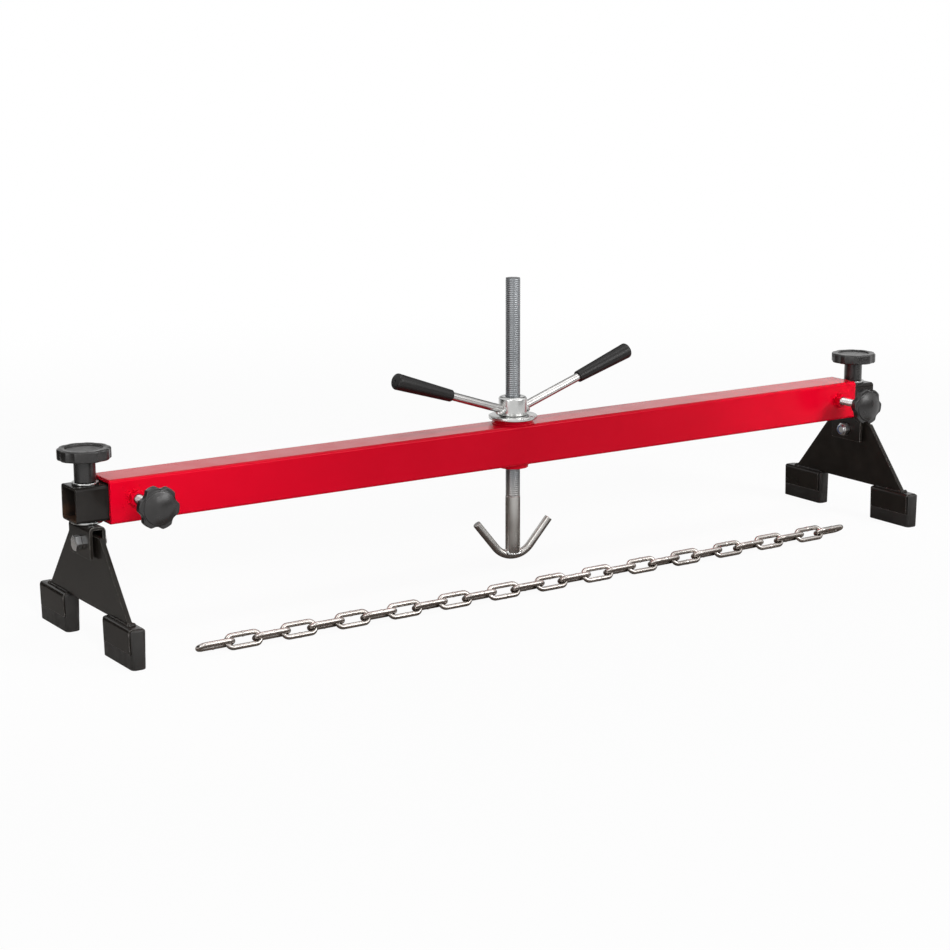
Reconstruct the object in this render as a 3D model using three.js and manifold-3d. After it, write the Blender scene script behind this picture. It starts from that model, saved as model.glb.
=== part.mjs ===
// Engine support bar: a square beam that lies across an engine bay on two rubber-footed
// stands, with a screwed hook rod in the middle and a loose lifting chain in front of it.
// Millimetres, +Z up. +X runs along the beam and -Y is the side with the clamp knobs.
// The origin lies on the floor, under the middle of the beam.
import * as THREE from 'three';
import { mergeVertices } from 'three/addons/utils/BufferGeometryUtils.js';
import Module from 'manifold-3d';

const wasm = await Module();
wasm.setup();

// Shared clearances
const gap = 0.3; // between pieces that rest on or turn in each other
const overrun = 1; // how far a cutting shape passes the face that it cuts
const weldSink = 0.5; // how far welded pieces run into each other

// Roundness of curved faces
const fineSides = 32;
const roundSides = 24;
const wireSides = 8;
const cornerSteps = 3;

// Beam and sliding arms
const beamLength = 1100;
const beamSide = 50;
const beamWall = 4;
const beamCorner = 4;
const armPlay = 1; // space on each side of an arm in the beam
const armSide = beamSide - 2 * (beamWall + armPlay);
const armWall = 3;
const armCorner = 3;
const armLength = 480;
const armShown = 38; // length of arm outside the beam at rest
const swivelInset = 20; // from an arm's outer end to its swivel stud

// Swivel stud with its washers and lock knob
const swivelStudRadius = 6;
const swivelStudThread = 19; // stud above the upper washer
const upperWasherRadius = 15;
const lowerWasherRadius = 17.7;
const washerThick = 2.5;
const knobSleeveRadius = 12;
const knobSleeveLength = 25;
const insertRadius = 8.5;
const insertLength = 20;
const insertInset = 1; // from the sleeve's mouth up to the insert
const wheelRadius = 30;
const wheelThick = 12.5;
const wheelLobes = 10;
const wheelFluteDepth = 1.2;
const wheelBevel = 1.5;
const wheelRecessRadius = 21;
const wheelRecessDepth = 1.5;

// Clevis: a flat bar folded to an upside-down U, with the swivel stud welded on top
const clevisBar = 4;
const clevisOuter = 19.6;
const clevisWidth = 56;
const clevisBend = 6;
const clevisBelowPivot = 14.5;
const clevisAbovePivot = 21.7;

// Pivot bolt and locking nut
const boltRadius = 5;
const boltHeadAcross = 16;
const boltHeadHeight = 6.4;
const nutHexHeight = 7;
const nutCollarRadius = 7;
const nutCollarHeight = 3.2;
const boltEndShown = 2.5;

// Foot: a trapezoid plate welded onto two saddles that hold rubber pads
const pivotHeight = 116;
const footHeight = 45; // top of the saddles above the floor
const plateThick = 6;
const plateAbovePivot = 11;
const plateTopHalf = 39;
const plateFootHalf = 106;
const padReach = 125.3; // outer end of a pad from the middle of the foot
const padLength = 76.2;
const padCorner = 4;
const saddleOuter = 17.8; // at the floor, before the splay
const saddleSplayShare = 0.12; // how much wider the foot is at the saddles' top
const saddleWall = 2;
const saddleSkirt = 27.5;
const saddleCorner = 4.5;
const padEndShown = 4.5; // rubber past each end of its saddle
const padTopInset = 0.5; // rubber's ends below the saddle's top

// Side clamp screws
const clampInset = 30; // from the beam's end to a clamp screw
const clampRise = 2.2; // above the middle of the beam
const clampStudRadius = 5;
const leftClampShown = 44.2; // stud between its nut and its knob
const rightClampShown = 40.9;
const clampNutAcross = 17;
const clampNutHeight = 8;
const clampHoleRadius = 5.5;
const starRadius = 24.1;
const starThick = 9;
const starTurn = THREE.MathUtils.degToRad(-21);
const starLobes = 6;
const starGrooveDepth = 3.2;
const starBevel = 1.2;
const starDomeRadius = 19;
const starDomeHeight = 6;
const starHubRadius = 10;
const starHubLength = 9;
const starHoleDepth = 13;

// Guide bush, thrust washer and lift nut
const rodRadius = 9;
const rodPlay = 1.2; // between the rod and what it passes through
const bushRadius = 19;
const bushBelowBeam = 5.5;
const bushFlangeRadius = 24.8;
const bushFlangeHeight = 5.5;
const thrustWasherRadius = 30;
const thrustWasherThick = 4;
const liftNutRadius = 17.5;
const liftNutHeight = 23.2;
const liftNutRounding = 3.5;

// Handles and grips of the lift nut
const handleRadius = 5.2;
const handleTurn = THREE.MathUtils.degToRad(2.5);
const handleSlope = THREE.MathUtils.degToRad(18.2);
const handleCrossing = 2.8; // where the handle lines meet the rod, above the nut's base
const leftGripStart = 98.5; // from the rod's axis, along the handle
const rightGripStart = 107.5;
const gripLength = 85;
const gripInnerRadius = 7.4;
const gripOuterRadius = 10;
const gripRounding = 3.5;
const gripEndWall = 7;
const handleWeldRadius = 8;
const handleWeldLength = 5;

// Threaded rod with its V-shaped hook
const rodTop = 366;
const rodChamfer = 1.5;
const rodPlainRadius = 9.45; // below the thread
const rodPlainTop = 88;
const hookWire = 5;
const hookBottom = 12.8;
const hookBend = 29.3;
const hookRise = THREE.MathUtils.degToRad(52);
const hookTurn = THREE.MathUtils.degToRad(-12);
const hookArm = 41.4;
const hookSides = 12;
const hookBendSteps = 10;

// Chain
const linkWire = 3;
const linkPitch = 35.3;
const linkInnerWidth = 7.8;
const steepLinkRoll = THREE.MathUtils.degToRad(57);
const linkBendSteps = 6;
const chainMiddleX = -16.6;
const chainMiddleY = -106;
const chainSkew = THREE.MathUtils.degToRad(0.72);
const chainEndSpace = 80; // free floor between the chain and each foot

// Heights and places that follow from the sizes above
const clevisTop = pivotHeight + clevisAbovePivot;
const lowerWasherBase = clevisTop + gap;
const armBottom = lowerWasherBase + washerThick + gap;
const armTop = armBottom + armSide;
const upperWasherBase = armTop + gap;
const upperWasherTop = upperWasherBase + washerThick;
const swivelStudTop = upperWasherTop + swivelStudThread;
const beamBottom = armBottom - gap - beamWall;
const beamTop = beamBottom + beamSide;
const beamMiddle = beamBottom + beamSide / 2;
const footX = beamLength / 2 + armShown - swivelInset;
const clampX = beamLength / 2 - clampInset;
const clampZ = beamMiddle + clampRise;
const bushBoreRadius = rodRadius + rodPlay;
const thrustWasherBase = beamTop + bushFlangeHeight + gap;
const liftNutBase = thrustWasherBase + thrustWasherThick + gap;
const linkSpacing = linkPitch - gap;
const linkHalfWidth = linkInnerWidth / 2 + linkWire;
const linkLeg = linkPitch - linkInnerWidth;
const flatLinkRoll = steepLinkRoll - Math.PI / 2;
const chainHeight = linkHalfWidth * Math.sin(steepLinkRoll) + linkWire;
const linkCount = Math.floor((2 * (footX - chainEndSpace) - saddleOuter) / linkSpacing);
const padOffset = padReach - padLength / 2;
const saddleLength = padLength - 2 * padEndShown;

// Materials
function finish(color, roughness, metalness) {
  return () => new THREE.MeshStandardMaterial({ color, roughness, metalness });
}
const redPaint = finish(0xc4101f, 0.35, 0.1);
const blackPaint = finish(0x1d1b1a, 0.4, 0.2);
const blackPlastic = finish(0x2b2b2b, 0.6, 0);
const blackRubber = finish(0x262524, 0.8, 0);
const zincSteel = finish(0xb9bcbf, 0.3, 0.9);
const rodSteel = finish(0x8b8c8d, 0.4, 0.85);
const chainSteel = finish(0xb5aea6, 0.25, 0.95);
const brass = finish(0xb08d4a, 0.35, 0.9);

// A closed geometry as a solid that can be joined and cut
function solid(geometry) {
  const bare = geometry.clone();
  bare.deleteAttribute('normal');
  bare.deleteAttribute('uv');
  const merged = mergeVertices(bare);
  const triangles = [];
  const index = merged.index.array;
  for (let i = 0; i < index.length; i += 3) {
    const [a, b, c] = [index[i], index[i + 1], index[i + 2]];
    if (a !== b && b !== c && c !== a) triangles.push(a, b, c);
  }
  const vertProperties = new Float32Array(merged.attributes.position.array);
  const build = (corners) =>
    new wasm.Manifold(new wasm.Mesh({ numProp: 3, vertProperties, triVerts: new Uint32Array(corners) }));
  const body = build(triangles);
  return body.volume() > 0 ? body : build(triangles.reverse());
}

function join(...bodies) {
  return bodies.reduce((whole, body) => whole.add(body));
}

function cut(body, ...tools) {
  return tools.reduce((rest, tool) => rest.subtract(tool), body);
}

// A named mesh from a solid
function piece(name, body, material) {
  const { vertProperties, triVerts } = body.getMesh();
  const geometry = new THREE.BufferGeometry();
  geometry.setAttribute('position', new THREE.BufferAttribute(new Float32Array(vertProperties), 3));
  geometry.setIndex(new THREE.BufferAttribute(new Uint32Array(triVerts), 1));
  geometry.computeVertexNormals();
  const mesh = new THREE.Mesh(geometry, material());
  mesh.name = name;
  return mesh;
}

// Turns a geometry made along +Z so that it runs along +X or +Y
function alongX(geometry) {
  return geometry.rotateY(Math.PI / 2);
}
function alongY(geometry) {
  return geometry.rotateX(-Math.PI / 2);
}

// Round bar along +Z from one height to another
function roundBar(radius, low, high, sides = roundSides) {
  const bar = new THREE.CylinderGeometry(radius, radius, high - low, sides);
  return bar.rotateX(Math.PI / 2).translate(0, 0, (low + high) / 2);
}

// Hexagonal bar along +Z, sized across its flats
function hexBar(across, low, high) {
  return roundBar(across / Math.sqrt(3), low, high, 6);
}

// Turned shape about +Z from [radius, height] pairs
function turned(profile, sides = fineSides) {
  const points = profile.map(([radius, height]) => new THREE.Vector2(radius, height));
  return new THREE.LatheGeometry(points, sides).rotateX(Math.PI / 2);
}

// Points of a quarter circle between two directions, for a turned profile
function arcPoints(centreRadius, centreHeight, radius, from, to, steps = cornerSteps) {
  const points = [];
  for (let i = 0; i <= steps; i += 1) {
    const angle = from + ((to - from) * i) / steps;
    points.push([centreRadius + radius * Math.cos(angle), centreHeight + radius * Math.sin(angle)]);
  }
  return points;
}

function washer(outer, inner, low, thick) {
  const ring = roundBar(outer, low, low + thick, fineSides);
  return cut(solid(ring), solid(roundBar(inner, low - overrun, low + thick + overrun)));
}

// Rectangle with round corners, centred on the origin
function roundedRectangle(width, height, radius) {
  const [x, y] = [width / 2 - radius, height / 2 - radius];
  const shape = new THREE.Shape();
  shape.absarc(x, y, radius, 0, Math.PI / 2);
  shape.absarc(-x, y, radius, Math.PI / 2, Math.PI);
  shape.absarc(-x, -y, radius, Math.PI, 1.5 * Math.PI);
  shape.absarc(x, -y, radius, 1.5 * Math.PI, 2 * Math.PI);
  shape.closePath();
  return shape;
}

function extruded(shape, depth, curveSegments = cornerSteps) {
  return new THREE.ExtrudeGeometry(shape, { depth, bevelEnabled: false, curveSegments });
}

// Square tube along +X, centred on the origin
function squareTube(side, wall, corner, length) {
  const outside = roundedRectangle(side, side, corner);
  const inside = side - 2 * wall;
  const bore = roundedRectangle(inside, inside, Math.max(corner - wall, gap));
  outside.holes.push(new THREE.Path(bore.getPoints(1)));
  return alongX(extruded(outside, length).translate(0, 0, -length / 2));
}

// Outline whose radius dips in rounded grooves between its lobes
function lobedOutline(radius, lobes, grooveDepth, stepsPerLobe, sharpness) {
  const points = [];
  const count = lobes * stepsPerLobe;
  for (let i = 0; i < count; i += 1) {
    const angle = (2 * Math.PI * i) / count;
    const groove = ((1 + Math.cos(lobes * angle)) / 2) ** sharpness;
    const reach = radius - grooveDepth * groove;
    points.push(new THREE.Vector2(reach * Math.cos(angle), reach * Math.sin(angle)));
  }
  return new THREE.Shape(points);
}

// Lobed disc along +Z with bevelled rims
function lobedDisc(outlineAt, low, high, bevel) {
  const shape = outlineAt(bevel);
  const disc = new THREE.ExtrudeGeometry(shape, {
    depth: high - low - 2 * bevel,
    bevelThickness: bevel,
    bevelSize: bevel,
    bevelSegments: 2,
  });
  return disc.translate(0, 0, low + bevel);
}

// Beam with its bush holes and the two welded clamp nuts
function beamTube() {
  const tube = solid(squareTube(beamSide, beamWall, beamCorner, beamLength).translate(0, 0, beamMiddle));
  const bushHole = roundBar(bushRadius + gap, beamBottom - overrun, beamTop + overrun, fineSides);
  let body = cut(tube, solid(bushHole));
  for (const side of [-1, 1]) {
    const place = [side * clampX, -beamSide / 2, clampZ];
    const nut = alongY(hexBar(clampNutAcross, -clampNutHeight, weldSink)).translate(...place);
    const hole = alongY(roundBar(clampHoleRadius, -clampNutHeight - overrun, beamWall + overrun));
    body = cut(join(body, solid(nut)), solid(hole.translate(...place)));
  }
  return piece('beam_tube', body, redPaint);
}

// Bush that carries the lift nut's load and guides the rod through the beam
function guideBush() {
  const bush = turned([
    [bushBoreRadius, beamBottom - bushBelowBeam],
    [bushRadius, beamBottom - bushBelowBeam],
    [bushRadius, beamTop],
    [bushFlangeRadius, beamTop],
    [bushFlangeRadius, beamTop + bushFlangeHeight],
    [bushBoreRadius, beamTop + bushFlangeHeight],
    [bushBoreRadius, beamBottom - bushBelowBeam],
  ]);
  return piece('guide_bush', solid(bush), redPaint);
}

function thrustWasher() {
  const ring = washer(thrustWasherRadius, bushBoreRadius, thrustWasherBase, thrustWasherThick);
  return piece('thrust_washer', ring, zincSteel);
}

// A bar or cone that leaves the nut along a handle's line; side 1 is the handle towards +X
function alongHandle(geometry, side) {
  const turn = side > 0 ? handleTurn : handleTurn + Math.PI;
  alongX(geometry).rotateY(-handleSlope).rotateZ(turn);
  return geometry.translate(0, 0, liftNutBase + handleCrossing);
}

function gripStart(side) {
  return side > 0 ? rightGripStart : leftGripStart;
}

// Collar nut with its two handles welded on
function liftNut() {
  const top = liftNutBase + liftNutHeight;
  const bore = rodRadius + gap;
  let body = solid(turned([
    [bore, liftNutBase],
    [liftNutRadius, liftNutBase],
    ...arcPoints(liftNutRadius - liftNutRounding, top - liftNutRounding, liftNutRounding, 0, Math.PI / 2),
    [bore, top],
    [bore, liftNutBase],
  ]));
  const handleStart = (rodRadius + liftNutRadius) / 2;
  for (const side of [-1, 1]) {
    const handleEnd = gripStart(side) + gripLength - gripEndWall - gap;
    const bar = roundBar(handleRadius, handleStart, handleEnd);
    const bead = new THREE.CylinderGeometry(handleRadius + weldSink, handleWeldRadius, handleWeldLength, roundSides);
    bead.rotateX(Math.PI / 2).translate(0, 0, liftNutRadius + handleWeldLength / 2);
    body = join(body, solid(alongHandle(bar, side)), solid(alongHandle(bead, side)));
  }
  return piece('lift_nut', body, zincSteel);
}

// Tapered sleeve with a closed, rounded outer end
function handleGrip(name, side) {
  const start = gripStart(side);
  const end = start + gripLength;
  const bore = handleRadius + gap;
  const grip = turned([
    [0, end - gripEndWall],
    [bore, end - gripEndWall],
    [bore, start],
    [gripInnerRadius - overrun, start],
    [gripInnerRadius, start + overrun],
    ...arcPoints(gripOuterRadius - gripRounding, end - gripRounding, gripRounding, 0, Math.PI / 2),
    [0, end],
  ], roundSides);
  return piece(name, solid(alongHandle(grip, side)), blackPlastic);
}

// Centre line of the hook: a straight arm, a bend and a straight arm, by equal shares of steps
class HookLine extends THREE.Curve {
  getPoint(share, target = new THREE.Vector3()) {
    const step = share * (hookBendSteps + 2);
    const bend = THREE.MathUtils.clamp(step - 1, 0, hookBendSteps) / hookBendSteps;
    const angle = (2 * bend - 1) * hookRise;
    const past = step < 1 ? step - 1 : Math.max(step - 1 - hookBendSteps, 0);
    const x = hookBend * Math.sin(angle) + past * hookArm * Math.cos(hookRise);
    const z = hookBend * (1 - Math.cos(angle)) + Math.abs(past) * hookArm * Math.sin(hookRise);
    return target.set(x, 0, hookBottom + hookWire + z);
  }
  getPointAt(share, target) {
    return this.getPoint(share, target);
  }
  getTangentAt(share, target) {
    return this.getTangent(share, target);
  }
}

// Lifting rod, welded into the bend of its hook
function hookRod() {
  const foot = hookBottom + 2 * hookWire;
  const rod = turned([
    [0, foot],
    [rodPlainRadius, foot],
    [rodPlainRadius, rodPlainTop],
    [rodRadius, rodPlainTop],
    [rodRadius, rodTop - rodChamfer],
    [rodRadius - rodChamfer, rodTop],
    [0, rodTop],
  ], roundSides);
  const section = new THREE.Shape().absarc(0, 0, hookWire, 0, 2 * Math.PI);
  const hook = new THREE.ExtrudeGeometry(section, {
    extrudePath: new HookLine(),
    steps: hookBendSteps + 2,
    curveSegments: hookSides / 2,
  });
  return piece('hook_rod', join(solid(rod), solid(hook.rotateZ(hookTurn))), rodSteel);
}

// Clamp screw on the beam's front face: the stud, and the star knob moulded onto it
function clampScrew(name, side) {
  const face = -beamSide / 2 - clampNutHeight;
  const tip = -armSide / 2 - gap;
  const knobBack = face - (side > 0 ? rightClampShown : leftClampShown);
  const starFront = knobBack - starThick;
  const hubBack = knobBack + starHubLength;
  const holeEnd = hubBack - starHoleDepth;
  const along = (geometry) => solid(alongY(geometry).translate(side * clampX, 0, clampZ));
  const stud = along(roundBar(clampStudRadius, holeEnd + gap, tip));
  const outline = (bevel) => lobedOutline(starRadius - bevel, starLobes, starGrooveDepth, 8, 1.5);
  const star = along(lobedDisc(outline, starFront, knobBack, starBevel).rotateZ(starTurn));
  const hub = along(roundBar(starHubRadius, knobBack - weldSink, hubBack));
  const dome = along(turned([
    [0, starFront - starDomeHeight],
    ...domeProfile(starDomeRadius, starDomeHeight, starFront),
    [starDomeRadius, starFront + weldSink],
    [0, starFront + weldSink],
  ], roundSides));
  const hole = along(roundBar(clampStudRadius + gap, holeEnd, hubBack + overrun));
  return [
    piece(`${name}_clamp_stud`, stud, zincSteel),
    piece(`${name}_clamp_knob`, cut(join(star, hub, dome), hole), blackPlastic),
  ];
}

// Profile of a shallow dome that bulges towards -Z from the height of its rim
function domeProfile(radius, height, rim) {
  const sphere = (radius * radius + height * height) / (2 * height);
  const spread = Math.asin(radius / sphere);
  const points = [];
  for (let i = 1; i <= cornerSteps; i += 1) {
    const angle = (spread * i) / cornerSteps;
    points.push([sphere * Math.sin(angle), rim - height + sphere * (1 - Math.cos(angle))]);
  }
  return points;
}

// Sliding arm with the swivel stud's hole through its top and bottom walls
function armTube(name) {
  const tube = squareTube(armSide, armWall, armCorner, armLength);
  tube.translate(swivelInset - armLength / 2, 0, (armBottom + armTop) / 2);
  const hole = roundBar(swivelStudRadius + gap, armBottom - overrun, armTop + overrun);
  return piece(`${name}_arm_tube`, cut(solid(tube), solid(hole)), blackPaint);
}

// Folded clevis with the welded swivel stud and the pivot bolt's holes
function clevis(name) {
  const bottom = pivotHeight - clevisBelowPivot;
  const height = clevisTop - bottom;
  const outer = roundedRectangle(clevisOuter, 2 * height, clevisBend);
  const innerBend = clevisBend - clevisBar;
  const inner = roundedRectangle(clevisOuter - 2 * clevisBar, 2 * (height - clevisBar), innerBend);
  const lay = (shape, width) => alongY(extruded(shape, width).translate(0, 0, -width / 2)).translate(0, 0, bottom);
  const below = new THREE.BoxGeometry(2 * clevisOuter, 2 * clevisWidth, 2 * height);
  const bolt = alongX(roundBar(boltRadius + gap, -clevisOuter, clevisOuter)).translate(0, 0, pivotHeight);
  const stud = roundBar(swivelStudRadius, clevisTop - clevisBar, swivelStudTop);
  const folded = cut(
    solid(lay(outer, clevisWidth)),
    solid(lay(inner, clevisWidth + 2 * overrun)),
    solid(below.translate(0, 0, bottom - height)),
    solid(bolt),
  );
  return piece(`${name}_clevis`, join(folded, solid(stud)), blackPaint);
}

// Lock knob's threaded insert
function knobInsert(name) {
  const base = upperWasherTop + gap + insertInset;
  const ring = washer(insertRadius, swivelStudRadius + gap, base, insertLength);
  return piece(`${name}_knob_insert`, ring, brass);
}

// Lock knob: a lobed hand wheel on a sleeve
function handKnob(name) {
  const base = upperWasherTop + gap;
  const wheelBase = base + knobSleeveLength;
  const wheelTop = wheelBase + wheelThick;
  const outline = (bevel) => lobedOutline(wheelRadius - bevel, wheelLobes, wheelFluteDepth, 6, 1);
  const wheel = solid(lobedDisc(outline, wheelBase, wheelTop, wheelBevel));
  const sleeve = solid(roundBar(knobSleeveRadius, base, wheelBase + weldSink, fineSides));
  const recess = solid(roundBar(wheelRecessRadius, wheelTop - wheelRecessDepth, wheelTop + overrun, fineSides));
  const bore = solid(roundBar(insertRadius + gap, base - overrun, base + insertInset + insertLength + gap));
  return piece(`${name}_hand_knob`, cut(join(wheel, sleeve), recess, bore), blackPlastic);
}

// Pivot bolt, head outwards
function pivotBolt(name) {
  const headBase = clevisOuter / 2 + gap;
  const nutEnd = headBase + nutHexHeight + nutCollarHeight;
  const head = hexBar(boltHeadAcross, headBase, headBase + boltHeadHeight);
  const shank = roundBar(boltRadius, -nutEnd - boltEndShown, headBase + weldSink);
  const body = join(solid(head), solid(shank));
  const mesh = piece(`${name}_pivot_bolt`, body, zincSteel);
  mesh.rotation.y = Math.PI / 2;
  mesh.position.z = pivotHeight;
  return mesh;
}

// Locking nut with its round collar, on the inner side
function pivotNut(name) {
  const base = clevisOuter / 2 + gap;
  const hexEnd = base + nutHexHeight;
  const hex = hexBar(boltHeadAcross, base, hexEnd);
  const collar = roundBar(nutCollarRadius, hexEnd - weldSink, hexEnd + nutCollarHeight);
  const bore = roundBar(boltRadius + gap, 0, hexEnd + nutCollarHeight + overrun);
  const body = cut(join(solid(hex), solid(collar)), solid(bore));
  const mesh = piece(`${name}_pivot_nut`, body, zincSteel);
  mesh.rotation.y = -Math.PI / 2;
  mesh.position.z = pivotHeight;
  return mesh;
}

// Upside-down U section that a saddle and its pad's rebate share
function saddleSection(outerGrowth, innerGrowth, skirt) {
  const outer = roundedRectangle(saddleOuter + 2 * outerGrowth, 2 * (skirt + outerGrowth), saddleCorner);
  const inside = saddleOuter - 2 * (saddleWall + innerGrowth);
  outer.holes.push(roundedRectangle(inside, 2 * (skirt - saddleWall - innerGrowth), saddleCorner - saddleWall));
  return outer;
}

// Widens a saddle's or pad's shape in step with its height above the floor
function splayed(geometry) {
  const points = geometry.attributes.position;
  for (let i = 0; i < points.count; i += 1) {
    points.setX(i, points.getX(i) * (1 + (saddleSplayShare * points.getZ(i)) / footHeight));
  }
  return geometry;
}

// Lays a section drawn in X and Z along Y, centred on a pad
function alongPad(shape, length, side, height) {
  const bar = alongY(extruded(shape, length).translate(0, 0, -length / 2));
  return splayed(bar.translate(0, side * padOffset, height));
}

// Foot plate with both saddles welded under it
function footFrame(name) {
  const plateShape = new THREE.Shape([
    new THREE.Vector2(-plateFootHalf, footHeight - weldSink),
    new THREE.Vector2(plateFootHalf, footHeight - weldSink),
    new THREE.Vector2(plateTopHalf, pivotHeight + plateAbovePivot),
    new THREE.Vector2(-plateTopHalf, pivotHeight + plateAbovePivot),
  ]);
  const plate = extruded(plateShape, plateThick).translate(0, 0, -plateThick / 2);
  plate.rotateX(Math.PI / 2).rotateZ(Math.PI / 2);
  const hole = alongX(roundBar(boltRadius + gap, -plateThick, plateThick)).translate(0, 0, pivotHeight);
  let body = cut(solid(plate), solid(hole));
  const skirtBottom = footHeight - saddleSkirt;
  for (const side of [-1, 1]) {
    const saddle = solid(alongPad(saddleSection(0, 0, saddleSkirt), saddleLength, side, skirtBottom));
    const below = new THREE.BoxGeometry(2 * saddleOuter, padLength, 2 * saddleSkirt);
    below.translate(0, side * padOffset, skirtBottom - saddleSkirt);
    body = join(body, cut(saddle, solid(below)));
  }
  return piece(`${name}_foot_frame`, body, blackPaint);
}

// Rubber pad with a rebate for its saddle; its two ends stand out full size
function pad(name, side) {
  const width = saddleOuter - 2 * gap;
  const block = splayed(extruded(roundedRectangle(width, padLength, padCorner), footHeight - padTopInset));
  block.translate(0, side * padOffset, 0);
  const skirtBottom = footHeight - saddleSkirt;
  const section = saddleSection(overrun, gap, saddleSkirt);
  const rebate = cut(
    solid(alongPad(section, saddleLength + 2 * gap, side, skirtBottom)),
    solid(new THREE.BoxGeometry(2 * saddleOuter, padLength, 2 * saddleSkirt)
      .translate(0, side * padOffset, skirtBottom - gap - saddleSkirt)),
  );
  return piece(name, cut(solid(block), rebate), blackRubber);
}

// One arm with everything it carries, drawn with its swivel axis on the floor's origin
function armAssembly(name, side) {
  const group = new THREE.Group();
  group.position.x = side * footX;
  group.rotation.z = side > 0 ? 0 : Math.PI;
  const studHole = swivelStudRadius + gap;
  group.add(
    armTube(name),
    piece(`${name}_upper_washer`, washer(upperWasherRadius, studHole, upperWasherBase, washerThick), zincSteel),
    piece(`${name}_lower_washer`, washer(lowerWasherRadius, studHole, lowerWasherBase, washerThick), zincSteel),
    clevis(name),
    knobInsert(name),
    handKnob(name),
    pivotBolt(name),
    pivotNut(name),
    footFrame(name),
    pad(`${name}_front_pad`, -side),
    pad(`${name}_rear_pad`, side),
  );
  return group;
}

// Centre line of a chain link: leg, bend, leg, bend, by equal shares of steps
class LinkLine extends THREE.Curve {
  getPoint(share, target = new THREE.Vector3()) {
    const halfSteps = linkBendSteps + 1;
    const step = (share % 1) * 2 * halfSteps;
    const back = step >= halfSteps;
    const local = back ? step - halfSteps : step;
    const along = Math.min(local, 1) - 0.5;
    const angle = (Math.PI * Math.max(local - 1, 0)) / linkBendSteps;
    const x = linkLeg * along + linkHalfWidth * Math.sin(angle);
    const y = -linkHalfWidth * Math.cos(angle);
    return back ? target.set(-x, -y, 0) : target.set(x, y, 0);
  }
  getPointAt(share, target) {
    return this.getPoint(share, target);
  }
  getTangentAt(share, target) {
    return this.getTangent(share, target);
  }
}

// Chain laid straight, its links rolled to one side and the other in turn
function chain() {
  const group = new THREE.Group();
  group.position.set(chainMiddleX, chainMiddleY, chainHeight);
  group.rotation.z = chainSkew;
  const rings = 2 * (linkBendSteps + 1);
  const body = solid(new THREE.TubeGeometry(new LinkLine(), rings, linkWire, wireSides, true));
  const middle = (linkCount - 1) / 2;
  for (let i = 0; i < linkCount; i += 1) {
    const link = piece(`chain_link_${String(i + 1).padStart(2, '0')}`, body, chainSteel);
    link.position.x = (i - middle) * linkSpacing;
    link.rotation.x = i % 2 === 0 ? flatLinkRoll : steepLinkRoll;
    group.add(link);
  }
  return group;
}

const engineSupportBar = new THREE.Group();
engineSupportBar.add(
  beamTube(),
  guideBush(),
  thrustWasher(),
  liftNut(),
  handleGrip('left_grip', -1),
  handleGrip('right_grip', 1),
  hookRod(),
  ...clampScrew('left', -1),
  ...clampScrew('right', 1),
  armAssembly('left', -1),
  armAssembly('right', 1),
  chain(),
);

export default engineSupportBar;
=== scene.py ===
# Engine support bar: the looks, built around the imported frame. Metres, +Z up, beam along X.
from math import acos, ceil, cos, degrees, exp, pi, radians, sin, sqrt, tan
from random import Random

import bmesh
import bpy
from mathutils import Matrix, Vector


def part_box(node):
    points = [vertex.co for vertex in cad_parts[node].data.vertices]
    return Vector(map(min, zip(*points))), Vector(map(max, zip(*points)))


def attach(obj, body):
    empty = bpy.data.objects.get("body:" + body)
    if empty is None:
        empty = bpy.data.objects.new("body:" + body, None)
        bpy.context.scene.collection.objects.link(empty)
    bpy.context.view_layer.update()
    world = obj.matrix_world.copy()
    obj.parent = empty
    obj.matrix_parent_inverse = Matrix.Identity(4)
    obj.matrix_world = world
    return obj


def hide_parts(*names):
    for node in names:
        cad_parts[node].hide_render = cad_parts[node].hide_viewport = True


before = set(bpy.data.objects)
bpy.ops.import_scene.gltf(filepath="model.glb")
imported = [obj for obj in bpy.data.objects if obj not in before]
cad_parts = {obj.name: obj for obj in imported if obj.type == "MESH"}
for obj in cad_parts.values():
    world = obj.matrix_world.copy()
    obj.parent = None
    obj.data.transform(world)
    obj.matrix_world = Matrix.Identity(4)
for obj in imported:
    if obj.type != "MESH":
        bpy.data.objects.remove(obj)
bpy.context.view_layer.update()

scene = bpy.context.scene

MM = 0.001
SIDES = {"left": -1, "right": 1}

# Steps of curved faces
ROUND = 64
WIRE = 24
CORNER = 8
EDGE_STEPS = 3
THREAD_SIDES = 36
WELD_SIDES = 14
HEX_STEPS = 8
LOBE_STEPS = 24

# Angles up to which neighbouring faces are shaded as one
SMOOTH = radians(35)
SMOOTH_BOLT = radians(40)
SMOOTH_THREAD = radians(60)

# Small sizes that many pieces share
EDGE = 0.5 * MM  # broken edge of sawn and punched steel
PLATE_EDGE = 0.9 * MM  # rounded edge of the guillotined plate
FIT = 0.3 * MM  # clearance between pieces that fit into each other
OVERRUN = 1 * MM  # how far a cut runs past a face
POLE = 0.5 * MM  # radius of the last ring that closes a round end
NUT_EASE = 0.6 * MM  # chamfer at the mouth of a nut
HEX_CHAMFER = radians(30)
HEX_FACE_SHARE = 0.96
THREAD_DEPTH_SHARE = 0.45
THREAD_PLACE_SHARES = (0.0, 0.16, 0.4, 0.58, 0.76)  # along one pitch
THREAD_FALL_SHARES = (1, 1, 0.1, 0, 0.1)  # below the crest, in thread depths
BEAD_UNEVEN_SHARE = 0.08
BEAD_RIPPLE_SHARE = 0.07
BEAD_END_SHARE = 0.35
BEAD_FADE = 6
WELD_NEAR = 0.2 * MM  # how far beads lie off the edges and faces that they join
WELD_OUT = 0.4 * MM
WELD_RISE = 0.6 * MM
SPATTER_COUNT = 26
SPATTER_SPREAD = 17 * MM
SPATTER_SEEDS = {"left": 8, "right": 7}
SPATTER_SIZES = (0.35, 0.8)  # millimetres
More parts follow.
